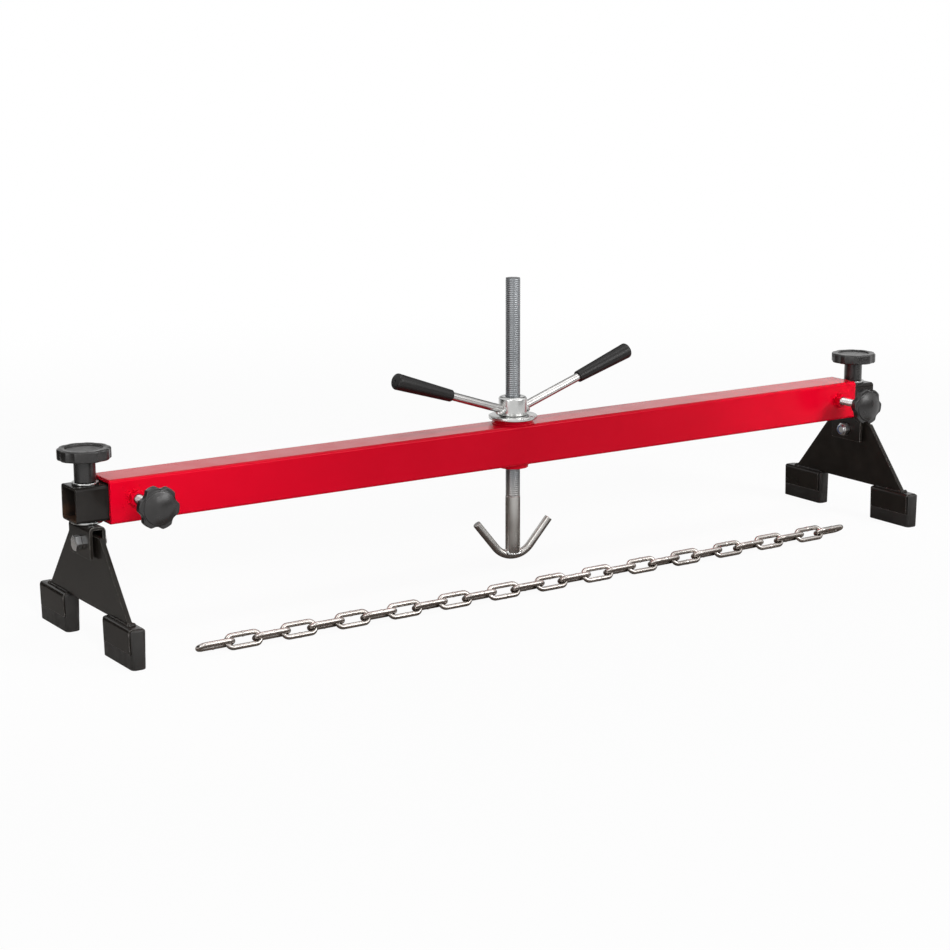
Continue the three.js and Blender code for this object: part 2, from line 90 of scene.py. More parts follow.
SPATTER_ANGLES = (0.3, 0.9, 1.6, 2.2, 2.8)  # radians down from the top of a drop
SPATTER_SIDES = 10

# Wall thicknesses and radii that no box gives
BEAM_WALL = 4 * MM
BEAM_CORNER = 4 * MM
ARM_WALL = 3 * MM
ARM_CORNER = 4 * MM
CLEVIS_BAR = 4 * MM
CLEVIS_BEND = 6 * MM
PLATE_THICK = 6 * MM
SADDLE_WALL = 2 * MM
SADDLE_CORNER = 4.5 * MM
PAD_CORNER = 5.5 * MM
PAD_ROUND = 2.6 * MM  # moulded edge of the rubber
RUST_REACH = (6 * MM, 24 * MM)  # up from the arm's lower face, full and faded out


def middle(node):
    low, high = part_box(node)
    return (low + high) / 2


# Shapes are pairs of a point list and a face list

def merged(*shapes):
    points, faces = [], []
    for more_points, more_faces in shapes:
        first = len(points)
        points += more_points
        faces += [[first + i for i in face] for face in more_faces]
    return points, faces


def moved(shape, matrix):
    return [matrix @ p for p in shape[0]], shape[1]


def shifted(shape, x=0, y=0, z=0):
    return moved(shape, Matrix.Translation((x, y, z)))


def spin(angle, axis="Z"):
    return Matrix.Rotation(angle, 4, axis)


def along_x(shape):
    """Lays a shape made along +Z along +X."""
    return moved(shape, spin(pi / 2, "Y"))


def along_minus_y(shape):
    """Lays a shape made along +Z along -Y."""
    return moved(shape, spin(pi / 2, "X"))


def loft(rings, endless=False):
    """Surface over rings of equal length, capped or joined end to end."""
    count = len(rings[0])
    points = [Vector(p) for ring in rings for p in ring]
    faces = []
    for i in range(len(rings) if endless else len(rings) - 1):
        a, b = i * count, ((i + 1) % len(rings)) * count
        for j in range(count):
            k = (j + 1) % count
            faces.append([a + j, a + k, b + k, b + j])
    if not endless:
        last = (len(rings) - 1) * count
        faces.append(list(range(count))[::-1])
        faces.append([last + j for j in range(count)])
    return points, faces


def circle(radius, height, sides):
    angles = [2 * pi * i / sides for i in range(sides)]
    return [(radius * cos(a), radius * sin(a), height) for a in angles]


def round_rings(profile, sides=ROUND):
    """Rings round +Z from (radius, height) pairs."""
    return [circle(radius, height, sides) for radius, height in profile]


def turned(profile, sides=ROUND, endless=False):
    """Lathe about +Z; no point lies on the axis."""
    return loft(round_rings(profile, sides), endless)


def cylinder(radius, low, high):
    return turned([(radius, low), (radius, high)])


def arc(centre_radius, centre_height, radius, start, end, steps=CORNER):
    """Profile points on an arc, its angles in degrees."""
    made = []
    for i in range(steps + 1):
        angle = radians(start + (end - start) * i / steps)
        made.append((centre_radius + radius * cos(angle), centre_height + radius * sin(angle)))
    return made


def quarter(steps):
    """Sine and cosine shares of a quarter round."""
    return [(sin(pi / 2 * k / steps), cos(pi / 2 * k / steps)) for k in range(steps + 1)]


def rounded(radius, height, size, start, steps=EDGE_STEPS):
    """Profile points that round a corner, starting at -90, 0, 90 or 180 degrees."""
    side = 1 if start in (-90, 0) else -1
    end = 1 if start in (0, 90) else -1
    return arc(radius - side * size, height - end * size, size, start, start + 90, steps)


def bar(radius, low, high, edge=EDGE):
    """Round bar along +Z with broken edges."""
    edges = rounded(radius, low, edge, -90) + rounded(radius, high, edge, 0)
    return turned([(radius - 2 * edge, low), *edges, (radius - 2 * edge, high)])


def ring(outer, inner, low, high, edge=EDGE):
    """Washer along +Z with broken edges."""
    corners = ((outer, low, -90), (outer, high, 0), (inner, high, 90), (inner, low, 180))
    return turned([p for radius, height, start in corners for p in rounded(radius, height, edge, start)],
                  endless=True)


def washer(node, bore, edge=EDGE):
    """Ring in a node's box, made about +Z."""
    low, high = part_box(node)
    return ring((high.x - low.x) / 2, bore, low.z, high.z, edge)


def rounded_rectangle(width, height, radius, inset=0.0):
    """Rectangle with round corners and a point beside each."""
    half_w, half_h, radius = width / 2 - inset, height / 2 - inset, max(radius - inset, EDGE / 2)
    points = []
    for corner, (sx, sy) in enumerate(((1, 1), (-1, 1), (-1, -1), (1, -1))):
        start = 90 * corner
        bend = arc(sx * (half_w - radius), sy * (half_h - radius), radius, start, start + 90)
        u, v = EDGE * sin(radians(start)), EDGE * cos(radians(start))
        points += [(bend[0][0] + u, bend[0][1] - v), *bend, (bend[-1][0] - v, bend[-1][1] - u)]
    return points


def square_tube(side, wall, corner, start, end):
    """Square tube along X with rounded ends, centred on the X axis."""
    def at(x, size, radius, inset=0.0):
        return [(x, y, z) for y, z in rounded_rectangle(size, size, radius, inset)]
    bore, bore_corner = side - 2 * wall, corner - wall / 2
    ends = [(0, EDGE), (EDGE / 3, EDGE / 3), (EDGE, 0), (3 * EDGE, 0)]
    return loft([
        *(at(start + deep, side, corner, inset) for deep, inset in ends),
        *(at(end - deep, side, corner, inset) for deep, inset in reversed(ends)),
        at(end, bore, bore_corner),
        at(start, bore, bore_corner),
    ], endless=True)


def hex_bar(across, low, high, bore=None, chamfer_low=True):
    """Hexagon along +Z, its corners turned off at the ends, with or without a bore."""
    around = 6 * HEX_STEPS

    def hexagon(height, way):
        points = []
        for i in range(around):
            angle = 2 * pi * i / around
            local = (angle + pi / 6) % (pi / 3) - pi / 6
            radius = across / 2 / cos(local)
            fall = way * (radius - across / 2) * tan(HEX_CHAMFER)
            points.append((radius * cos(angle), radius * sin(angle), height - fall))
        return points

    face = across / 2 * HEX_FACE_SHARE
    rings = [
        circle(face, low, around), hexagon(low, -1 if chamfer_low else 0), hexagon((low + high) / 2, 0),
        hexagon(high, 1), circle(face, high, around),
    ]
    if bore:
        mouth = bore + NUT_EASE
        profile = [(mouth, high), (bore, high - NUT_EASE), (bore, low + NUT_EASE), (mouth, low)]
        rings += round_rings(profile, around)
    return loft(rings, endless=bool(bore))


def threaded(radius, pitch, low, high, chamfer, sides=THREAD_SIDES, depth_share=THREAD_DEPTH_SHARE):
    """Bar along +Z with a right-hand thread, its ends chamfered."""
    depth = depth_share * pitch
    rows = len(THREAD_PLACE_SHARES)
    tall = rows * (ceil((high - low) / pitch) + 2)
    points = []
    for i in range(sides):
        angle = 2 * pi * i / sides
        for k in range(tall):
            z = low + pitch * (i / sides + k // rows + THREAD_PLACE_SHARES[k % rows] - 1)
            z = min(max(z, low), high)
            near_end = min(z - low, high - z)
            r = radius - depth
            if near_end > 0:
                r = min(radius - THREAD_FALL_SHARES[k % rows] * depth, max(radius - chamfer + near_end, r))
            points.append(Vector((r * cos(angle), r * sin(angle), z)))
    last = (sides - 1) * tall
    faces = []
    for a in range(0, last, tall):
        faces += [[a + k, a + tall + k, a + tall + k + 1, a + k + 1] for k in range(tall - 1)]
    faces += [[last + k, k + rows, k + rows + 1, last + k + 1] for k in range(tall - rows - 1)]
    faces.append(list(range(0, last + tall, tall))[::-1])
    faces.append(list(range(tall - 1, last + tall, tall)))
    return points, faces


def tube(path, radius, sides=WIRE, endless=False):
    """Round wire along closely spaced points."""
    path = [Vector(p) for p in path]
    count = len(path)
    rings = []
    up = None
    for i, p in enumerate(path):
        if endless:
            ahead = path[(i + 1) % count] - path[i - 1]
        else:
            ahead = path[min(i + 1, count - 1)] - path[max(i - 1, 0)]
        ahead.normalize()
        if up is None:
            up = Vector((0, 0, 1)) if abs(ahead.z) < 0.9 else Vector((0, 1, 0))
        up = (up - ahead * up.dot(ahead)).normalized()
        across = ahead.cross(up)
        r = radius(i / (count - 1)) if callable(radius) else radius
        rings.append([
            p + r * (cos(2 * pi * j / sides) * up + sin(2 * pi * j / sides) * across)
            for j in range(sides)
        ])
    return loft(rings, endless)


def bead(path, radius, seed):
    """Weld bead along a path: ripples and a slightly uneven width."""
    chance = Random(seed)
    widths = [1 + chance.uniform(-BEAD_UNEVEN_SHARE, BEAD_UNEVEN_SHARE) for _ in path]

    def at(share):
        i = min(int(share * (len(path) - 1) + 0.5), len(path) - 1)
        ripple = BEAD_RIPPLE_SHARE * cos(pi * i)
        fade = min(1.0, BEAD_FADE * min(share, 1 - share) + BEAD_END_SHARE)
        return radius * (widths[i] + ripple) * fade
    return tube(path, at, WELD_SIDES)


def ring_weld(path, radius, ripple, waves, drift=0.0):
    """Weld bead that closes on itself, with ripples and an uneven drift."""
    def at(share):
        return radius + ripple * cos(waves * 2 * pi * share) + drift * sin(9 * share)
    return tube(path, at, WELD_SIDES, endless=True)


def straight(start, end, steps):
    start, end = Vector(start), Vector(end)
    return [start.lerp(end, i / steps) for i in range(steps + 1)]


def spatter(place, seed):
    """Small beads of weld spatter on a face that looks towards -Y."""
    chance = Random(seed)
    drops = []
    for _ in range(SPATTER_COUNT):
        size = chance.uniform(*SPATTER_SIZES) * MM
        x, z = (chance.uniform(-SPATTER_SPREAD, SPATTER_SPREAD) for _ in "xz")
        drop = turned([(size * sin(a), size * cos(a)) for a in SPATTER_ANGLES], SPATTER_SIDES)
        drops.append(shifted(drop, place[0] + x, place[1], place[2] + z))
    return merged(*drops)


# Objects

def placed(name, data):
    """Object in the scene that holds a mesh, lens or lamp."""
    thing = bpy.data.objects.new(name, data)
    scene.collection.objects.link(thing)
    return thing


def mesh_of(name, shape, joined):
    """Mesh with its faces turned outwards; joined merges points that meet."""
    mesh = bpy.data.meshes.new(name)
    mesh.from_pydata([tuple(p) for p in shape[0]], [], shape[1])
    work = bmesh.new()
    work.from_mesh(mesh)
    if joined:
        bmesh.ops.remove_doubles(work, verts=work.verts, dist=1e-7)
        bmesh.ops.dissolve_degenerate(work, edges=work.edges, dist=1e-8)
    bmesh.ops.recalc_face_normals(work, faces=work.faces)
    work.to_mesh(mesh)
    work.free()
    return mesh


def cut_mesh(shape, cuts):
    """Mesh of a shape less other shapes."""
    base, *tools = (placed("scratch", mesh_of("scratch", part, False)) for part in (shape, *cuts))
    for tool in tools:
        change = base.modifiers.new("cut", "BOOLEAN")
        change.operation = "DIFFERENCE"
        change.solver = "EXACT"
        change.object = tool
    bpy.context.view_layer.update()
    graph = bpy.context.evaluated_depsgraph_get()
    mesh = bpy.data.meshes.new_from_object(base.evaluated_get(graph))
    for thing in (base, *tools):
        old = thing.data
        bpy.data.objects.remove(thing)
        bpy.data.meshes.remove(old)
    return mesh


def make(name, shape, material, body, slot, *nodes, cuts=(), smooth=SMOOTH):
    """Piece from a shape less its cuts, riding on a body and standing for its CAD nodes."""
    mesh = cut_mesh(shape, cuts) if cuts else mesh_of(name, shape, True)
    mesh.shade_smooth()
    mesh.set_sharp_from_angle(angle=smooth)
    mesh.materials.clear()
    mesh.materials.append(material)
    piece = placed(name, mesh)
    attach(piece, body)
    if nodes:
        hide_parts(*nodes)
    return piece


# Materials

class Nodes:
    """The node tree of a material or a world."""
    def __init__(self, owner):
        owner.use_nodes = True
        self.tree = owner.node_tree
        self.tree.nodes.clear()

    def feed(self, target, source):
        """Links an output to an input, or sets the input to a number or colour."""
        if isinstance(source, bpy.types.NodeSocket):
            self.tree.links.new(source, target)
        else:
            target.default_value = (*source, 1) if isinstance(source, tuple) else source

    def add(self, kind, sources, output=0, **settings):
        """An output of a new node, whose inputs are fed by name or number."""
        node = self.tree.nodes.new("ShaderNode" + kind)
        for name, value in settings.items():
            setattr(node, name, value)
        for socket, source in sources.items():
            self.feed(node.inputs[socket], source)
        return node.outputs[output]

    def end(self, kind, shader):
        self.feed(self.tree.nodes.new("ShaderNode" + kind).inputs[0], shader)

    def maths(self, operation, first, second=0.0):
        return self.add("Math", {0: first, 1: second}, operation=operation)

    def scaled(self, source, low, high, from_low=0.3, from_high=0.7, **settings):
        """Maps a value's range to another."""
        ranges = {"From Min": from_low, "From Max": from_high, "To Min": low, "To Max": high}
        return self.add("MapRange", {"Value": source, **ranges}, **settings)


class Finish(Nodes):
    """A material whose patterns lie in the part's own frame."""
    def __init__(self, name, **values):
        self.material = bpy.data.materials.new(name)
        super().__init__(self.material)
        self.shader = self.tree.nodes.new("ShaderNodeBsdfPrincipled")
        for socket, value in values.items():
            self.shader.inputs[socket.replace("_", " ")].default_value = value
        self.end("OutputMaterial", self.shader.outputs[0])
        self.place = self.add("TexCoord", {}, "Object")

    def axis(self, number):
        """The place along X, Y or Z, numbered from 0."""
        return self.add("SeparateXYZ", {0: self.place}, number)

    def noise(self, scale, detail):
        texture = {"Vector": self.place, "Scale": scale, "Detail": detail, "Roughness": 0.55}
        return self.add("TexNoise", texture)

    def varied(self, scale, detail, low, high):
        """A value that wanders between two others."""
        return self.scaled(self.noise(scale, detail), low, high)

    def tones(self, scale, detail, first, second, first_end=0.3):
        """Patches of two colours; noise below first_end is all the first."""
        ramp = self.tree.nodes.new("ShaderNodeValToRGB")
        stops = zip(ramp.color_ramp.elements, (first_end, 0.7), (first, second))
        for element, value, colour in stops:
            element.position = value
            element.color = (*colour, 1)
        self.feed(ramp.inputs[0], self.noise(scale, detail))
        return ramp.outputs[0]

    def mixed(self, share, first, second):
        """The first colour, and the second where the share is 1."""
        return self.add("Mix", {0: share, 6: first, 7: second}, 2, data_type="RGBA")

    def edges(self, radius):
        """1 where the surface turns sharply within the radius, 0 on flats."""
        rounded = self.add("Bevel", {"Radius": radius})
        flat = self.add("NewGeometry", {}, "Normal")
        match = self.add("VectorMath", {0: rounded, 1: flat}, "Value", operation="DOT_PRODUCT")
        return self.scaled(match, 1, 0, 0.85, 0.995)

    def done(self, colour, roughness, relief, height, strength):
        """The material with its colour, roughness and relief, a pair of noise scale and detail."""
        self.feed(self.shader.inputs["Base Color"], colour)
        self.feed(self.shader.inputs["Roughness"], roughness)
        bump = {"Height": self.noise(*relief), "Distance": height, "Strength": strength}
        self.feed(self.shader.inputs["Normal"], self.add("Bump", bump))
        return self.material


def red_paint():
    tint = (1, 0.1, 0.14, 1)
    n = Finish("red_powder_coat", IOR=1.5, Specular_IOR_Level=0.3, Specular_Tint=tint)
    tone = n.tones(9, 3, (0.62, 0.001, 0.015), (0.68, 0.0012, 0.018))
    return n.done(tone, n.varied(40, 4, 0.16, 0.24), (420, 2), 0.00003, 0.2)


def black_paint():
    """Gloss black paint, brushed thin; its edges are lighter, partly worn paint and partly a painted
    highlight, with bright flecks along them, partly chips of bare steel and partly painted glints.
    """
    n = Finish("black_gloss_paint", IOR=1.3, Specular_IOR_Level=0.5)
    tone = n.tones(30, 5, (0.010, 0.0085, 0.007), (0.018, 0.015, 0.0125))
    edge = n.edges(PLATE_EDGE)
    # Lighter edges: partly worn paint, partly a painted highlight along the rounded edges.
    lighter_edges = n.mixed(edge, tone, (0.12, 0.113, 0.105))
    # Bright flecks along the edges: partly chips of bare steel, partly painted glints.
    chips_and_glints = n.maths("MULTIPLY", edge, n.scaled(n.noise(150, 2), 0, 1, 0.55, 0.62))
    colour = n.mixed(chips_and_glints, lighter_edges, (0.30, 0.285, 0.27))
    return n.done(colour, n.varied(60, 5, 0.14, 0.26), (160, 3), 0.00003, 0.3)


def arm_paint():
    """Black paint outside, and a bore with a thin coat that rust tints brown."""
    n = Finish("black_gloss_paint_arm", IOR=1.5, Specular_IOR_Level=0.16)
    tone = n.tones(30, 5, (0.010, 0.0085, 0.0075), (0.018, 0.016, 0.0145))
    lighter_edges = n.mixed(n.edges(0.6 * MM), tone, (0.06, 0.057, 0.054))
    low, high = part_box("left_arm_tube")
    height = n.axis(2)
    aside = n.maths("ABSOLUTE", n.axis(1))
    above = n.maths("ABSOLUTE", n.maths("SUBTRACT", height, (low.z + high.z) / 2))
    in_bore = n.maths("LESS_THAN", n.maths("MAXIMUM", aside, above), (high.z - low.z) / 2 - ARM_WALL / 2)
    lower_part = n.scaled(height, 1, 0.1, *(low.z + reach for reach in RUST_REACH))
    rust = n.tones(70, 6, (0.014, 0.010, 0.008), (0.085, 0.042, 0.022), 0.35)
    colour = n.mixed(n.maths("MULTIPLY", in_bore, lower_part), lighter_edges, rust)
    roughness = n.maths("MAXIMUM", n.varied(60, 5, 0.12, 0.22), n.maths("MULTIPLY", in_bore, 0.6))
    return n.done(colour, roughness, (160, 3), 0.00003, 0.3)


def zinc(name, dark, light, rough_low, rough_high, grain, fade=None):
    """Plated steel with faint drawing marks; fade is (low, high, colour) for a paler lower end."""
    n = Finish(name, Metallic=1)
    tone = n.tones(24, 2, dark, light)
    if fade:
        low, high, colour = fade
        tone = n.mixed(n.scaled(n.axis(2), 1, 0, low, high), tone, colour)
    return n.done(tone, n.varied(50, 2, rough_low, rough_high), (grain, 1), 0.00004, 0.2)


def plastic(name, dark, light, rough_low, rough_high, level=0.85):
    """Moulded plastic with a fine spark-eroded grain."""
    n = Finish(name, IOR=1.35, Specular_IOR_Level=level)
    colour = n.mixed(n.edges(0.5 * MM), n.tones(70, 4, dark, light), tuple(2 * c for c in light))
    return n.done(colour, n.varied(120, 4, rough_low, rough_high), (500, 2), 0.00003, 0.35)


def rubber():
    n = Finish("black_rubber", IOR=1.4, Specular_IOR_Level=0.48)
    tone = n.tones(35, 6, (0.016, 0.0150, 0.014), (0.026, 0.0245, 0.023))
    colour = n.mixed(n.edges(0.8 * MM), tone, (0.06, 0.057, 0.054))
    return n.done(colour, n.varied(80, 4, 0.32, 0.5), (300, 3), 0.00008, 0.4)


RED = red_paint()
BLACK = black_paint()
ARM_BLACK = arm_paint()
ROD_FADE = (92 * MM, 122 * MM, (0.44, 0.43, 0.42))
ZINC = zinc("bright_zinc", (0.43, 0.435, 0.43), (0.60, 0.60, 0.59), 0.2, 0.3, 60)
HANDLE = zinc("handle_zinc", (0.44, 0.43, 0.42), (0.58, 0.57, 0.56), 0.26, 0.34, 50)
# The thread is darker than the shank as a painted shade, standing in for the shade between its flanks.
ROD = zinc("rod_thread", (0.19, 0.20, 0.21), (0.26, 0.27, 0.28), 0.32, 0.4, 40, ROD_FADE)
ROD_PLAIN = zinc("rod_plain", (0.36, 0.345, 0.325), (0.54, 0.53, 0.51), 0.26, 0.36, 50)
CHAIN = zinc("chain_zinc", (0.40, 0.37, 0.345), (0.60, 0.565, 0.535), 0.2, 0.3, 90)
BOLT = zinc("bolt_zinc", (0.54, 0.55, 0.56), (0.78, 0.78, 0.78), 0.22, 0.36, 120)
BRASS = zinc("brass_insert", (0.50, 0.34, 0.12), (0.64, 0.46, 0.19), 0.25, 0.4, 500)
KNOB = plastic("knob_plastic", (0.010, 0.009, 0.0087), (0.016, 0.0148, 0.0144), 0.26, 0.34, 0.95)
GRIP = plastic("grip_plastic", (0.006, 0.0052, 0.005), (0.010, 0.0088, 0.0084), 0.34, 0.44, 0.55)
RUBBER = rubber()
NYLON = plastic("blue_nylon", (0.05, 0.12, 0.30), (0.07, 0.16, 0.38), 0.4, 0.5)

# Camera at the photograph's viewpoint, its frame taken as 950 x 950
PHOTO_SIDE = 950
FOCAL_PIXELS = 2178.35
CENTRE_PIXEL = (482.8, 473.1)
SENSOR = 36.0
CAMERA_PLACE = (-1497.5 * MM, -2176.7 * MM, 703.0 * MM)
CAMERA_YAW = radians(33.719)
CAMERA_PITCH = radians(12.394)
CAMERA_ROLL = radians(-0.131)

lens = bpy.data.cameras.new("camera")
lens.sensor_fit = "HORIZONTAL"
lens.sensor_width = SENSOR
lens.lens = FOCAL_PIXELS * SENSOR / PHOTO_SIDE
lens.shift_x = (PHOTO_SIDE / 2 - CENTRE_PIXEL[0]) / PHOTO_SIDE
lens.shift_y = (CENTRE_PIXEL[1] - PHOTO_SIDE / 2) / PHOTO_SIDE
lens.clip_start = 0.05
lens.clip_end = 100
camera = placed("camera", lens)
look = spin(-CAMERA_YAW) @ spin(pi / 2 - CAMERA_PITCH, "X") @ spin(CAMERA_ROLL)
camera.matrix_world = Matrix.Translation(CAMERA_PLACE) @ look
scene.camera = camera

# Beam with its weld nuts and its bush
BUSH_RADIUS = 19 * MM
BUSH_BORE = 10.2 * MM
BUSH_WELD_STEPS = 90
UPPER_WELD = (1.7 * MM, 0.12 * MM, 45)  # radius, ripple, waves round it
LOWER_WELD = (1.6 * MM, 0.12 * MM, 45)
CLAMP_NUT_ACROSS = 17 * MM
CLAMP_HOLE = 5.5 * MM
CLAMP_HOLE_START = 10 * MM
NUT_WELD = 1.5 * MM
NUT_WELD_FROM = 8  # degrees round the nut, within each sixth
NUT_WELD_TO = 52
NUT_WELD_STEPS = 6
NUT_WELD_SEED = 40
WASHER_EDGE = 0.8 * MM

beam_low, beam_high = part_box("beam_tube")
beam_side = beam_high.z - beam_low.z
beam_z = (beam_low.z + beam_high.z) / 2
beam_front = -beam_side / 2
bush_low, bush_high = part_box("guide_bush")
bush_flange = (bush_high.x - bush_low.x) / 2
clamp_x = middle("right_clamp_stud").x
clamp_z = middle("right_clamp_stud").z
clamp_nut_face = beam_low.y


def at_clamp(shape, sign):
    """Lays a shape made along +Z on one clamp's line, outwards from the beam's front."""
    return shifted(along_minus_y(shape), sign * clamp_x, 0, clamp_z)


holes = [cylinder(BUSH_RADIUS + FIT, bush_low.z, bush_high.z)]
for sign in SIDES.values():
    holes.append(at_clamp(cylinder(CLAMP_HOLE, CLAMP_HOLE_START, -clamp_nut_face), sign))
beam_shape = shifted(square_tube(beam_side, BEAM_WALL, BEAM_CORNER, beam_low.x, beam_high.x), z=beam_z)
make("beam", beam_shape, RED, "beam", "red_paint", "beam_tube", cuts=holes)

for name, sign in SIDES.items():
    nut = hex_bar(CLAMP_NUT_ACROSS, -beam_front - FIT, -clamp_nut_face, CLAMP_HOLE, chamfer_low=False)
    make(f"{name}_weld_nut", at_clamp(nut, sign), RED, "beam", "red_paint")
    welds = []
    for sixth in range(6):
        points = []
        for i in range(NUT_WELD_STEPS + 1):
            part = NUT_WELD_FROM + (NUT_WELD_TO - NUT_WELD_FROM) * i / NUT_WELD_STEPS
            angle = radians(60 * sixth + part)
            reach = CLAMP_NUT_ACROSS / 2 / cos(radians(part - 30)) + WELD_RISE
            x, z = sign * clamp_x + reach * cos(angle), clamp_z + reach * sin(angle)
            points.append((x, beam_front - FIT, z))
        welds.append(bead(points, NUT_WELD, NUT_WELD_SEED + sixth))
    drops = spatter((sign * clamp_x, beam_front, clamp_z), SPATTER_SEEDS[name])
    make(f"{name}_nut_weld", merged(*welds, drops), RED, "beam", "red_paint")

bush = turned([
    *rounded(BUSH_BORE, bush_low.z, EDGE, 180),
    *rounded(BUSH_RADIUS, bush_low.z, EDGE, -90),
    (BUSH_RADIUS, beam_high.z),
    (bush_flange, beam_high.z),
    *rounded(bush_flange, bush_high.z, 2 * EDGE, 0, 4),
    *rounded(BUSH_BORE, bush_high.z, EDGE, 90),
], endless=True)
make("bush", bush, RED, "beam", "red_paint", "guide_bush")
upper_ring = circle(bush_flange - WELD_NEAR, beam_high.z + WELD_RISE, BUSH_WELD_STEPS)
lower_ring = circle(BUSH_RADIUS + WELD_OUT, beam_low.z - WELD_OUT, BUSH_WELD_STEPS)
bush_weld = merged(ring_weld(upper_ring, *UPPER_WELD), ring_weld(lower_ring, *LOWER_WELD))
make("bush_weld", bush_weld, RED, "beam", "red_paint")

thrust_washer = washer("thrust_washer", BUSH_BORE, WASHER_EDGE)
make("thrust_washer_plated", thrust_washer, ZINC, "beam", "zinc_steel", "thrust_washer")

# Lift nut with its handles
NUT_RADIUS = 17.5 * MM
NUT_HEIGHT = 23.2 * MM
NUT_ROUNDING = 3.5 * MM
NUT_BORE = 9.3 * MM
HANDLE_RADIUS = 5.2 * MM
HANDLE_TURN = radians(2.5)
HANDLE_SLOPE = radians(18.2)
HANDLE_CROSSING = 2.8 * MM
HANDLE_SUNK = 4 * MM
HANDLE_WELD = (2.3 * MM, 0.35 * MM, 22, 0.3 * MM)
HANDLE_WELD_STEPS = 48
GRIP_STARTS = {"left": 98.5 * MM, "right": 107.5 * MM}
GRIP_LENGTH = 85 * MM
GRIP_INNER = 7.4 * MM
GRIP_OUTER = 10 * MM
GRIP_TAPER_END = 0.15 * MM  # how much slimmer the taper ends than the rounded end starts
GRIP_ROUNDING = 3.5 * MM
GRIP_END_WALL = 7 * MM
GRIP_MOUTH_ROUND = 0.6 * MM
GRIP_RIM_ROUND = 0.9 * MM
GRIP_MARK = 1.2 * MM  # dimple that the mould leaves in the end
GRIP_MARK_ROUND = 0.2 * MM
GRIP_MARK_FLOOR = 0.96 * MM
GRIP_TAPER_STOP = 7.7 * MM  # from the end
GRIP_ROUND_TO = 84  # degrees

nut_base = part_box("thrust_washer")[1].z + FIT
nut_top = nut_base + NUT_HEIGHT
collar = turned([
    *rounded(NUT_BORE, nut_base, 2 * EDGE, 180),
    *rounded(NUT_RADIUS, nut_base, 2 * EDGE, -90, 4),
    *rounded(NUT_RADIUS, nut_top, NUT_ROUNDING, 0, CORNER),
    *rounded(NUT_BORE, nut_top, 2 * EDGE, 90),
], endless=True)
make("lift_collar", collar, ZINC, "lift_nut", "zinc_steel", "lift_nut")


def along_handle(shape, sign):
    """Turns a shape made along +Z into a handle's line."""
    turn = HANDLE_TURN if sign > 0 else HANDLE_TURN + pi
    place = Matrix.Translation((0, 0, nut_base + HANDLE_CROSSING))
    return moved(shape, place @ spin(turn) @ spin(pi / 2 - HANDLE_SLOPE, "Y"))


def handle_weld():
    """Bead round the foot of a handle made along +Z, where it meets the collar."""
    points = []
    for x, y, _ in circle(HANDLE_RADIUS + WELD_OUT, 0, HANDLE_WELD_STEPS):
        on_collar = sqrt(NUT_RADIUS ** 2 - y ** 2) / cos(HANDLE_SLOPE)
        points.append((x, y, on_collar + x * tan(HANDLE_SLOPE) + WELD_RISE))
    return ring_weld(points, *HANDLE_WELD)


def grip_sleeve(start, end):
    """Tapered sleeve along +Z, bored for its handle, with a rounded end."""
    bore = HANDLE_RADIUS + FIT
    bore_end = end - GRIP_END_WALL
    return turned([
        (GRIP_MARK / 3, bore_end),
        (bore - EDGE, bore_end),
        (bore, bore_end - EDGE),
        (bore, start + GRIP_MOUTH_ROUND),
        *rounded(bore, start, GRIP_MOUTH_ROUND, 180),
        *rounded(GRIP_INNER, start, GRIP_RIM_ROUND, -90, 4),
        (GRIP_OUTER - GRIP_TAPER_END, end - GRIP_TAPER_STOP),
        *arc(GRIP_OUTER - GRIP_ROUNDING, end - GRIP_ROUNDING, GRIP_ROUNDING, 0, GRIP_ROUND_TO),
        (GRIP_MARK + GRIP_MARK_ROUND, end),
        (GRIP_MARK, end - GRIP_MARK_ROUND),
        (GRIP_MARK_FLOOR, end - GRIP_MARK),
        (GRIP_MARK / 4, end - GRIP_MARK),
    ])


for name, sign in SIDES.items():
    grip_end = GRIP_STARTS[name] + GRIP_LENGTH
    handle = bar(HANDLE_RADIUS, NUT_RADIUS - HANDLE_SUNK, grip_end - GRIP_END_WALL - FIT)
    make(f"{name}_handle_bar", along_handle(handle, sign), HANDLE, "lift_nut", "zinc_steel")
    make(f"{name}_handle_weld", along_handle(handle_weld(), sign), ZINC, "lift_nut", "zinc_steel")
    grip = along_handle(grip_sleeve(GRIP_STARTS[name], grip_end), sign)
    make(f"{name}_grip_sleeve", grip, GRIP, "lift_nut", "grip_plastic", f"{name}_grip")

# Hook rod
ROD_RADIUS = 9 * MM
ROD_PLAIN_RADIUS = 9.2 * MM
ROD_PLAIN_TOP = 94 * MM
ROD_PITCH = 2.5 * MM
ROD_CHAMFER = 1.5 * MM
ROD_DEPTH_SHARE = 0.11
SHANK_EDGE = 0.4 * MM
SHANK_CAP = 2 * MM
HOOK_WIRE = 5 * MM
HOOK_BEND = 29.3 * MM
HOOK_RISE = 52  # degrees
HOOK_TURN = radians(-12)
HOOK_ARM = 41.4 * MM
HOOK_EDGE = 0.6 * MM
HOOK_WELD = (2.4 * MM, 0.5 * MM, 19)
HOOK_WELD_STEPS = 60
HOOK_WELD_SQUEEZE = 0.8
HOOK_WELD_FALL = 0.6

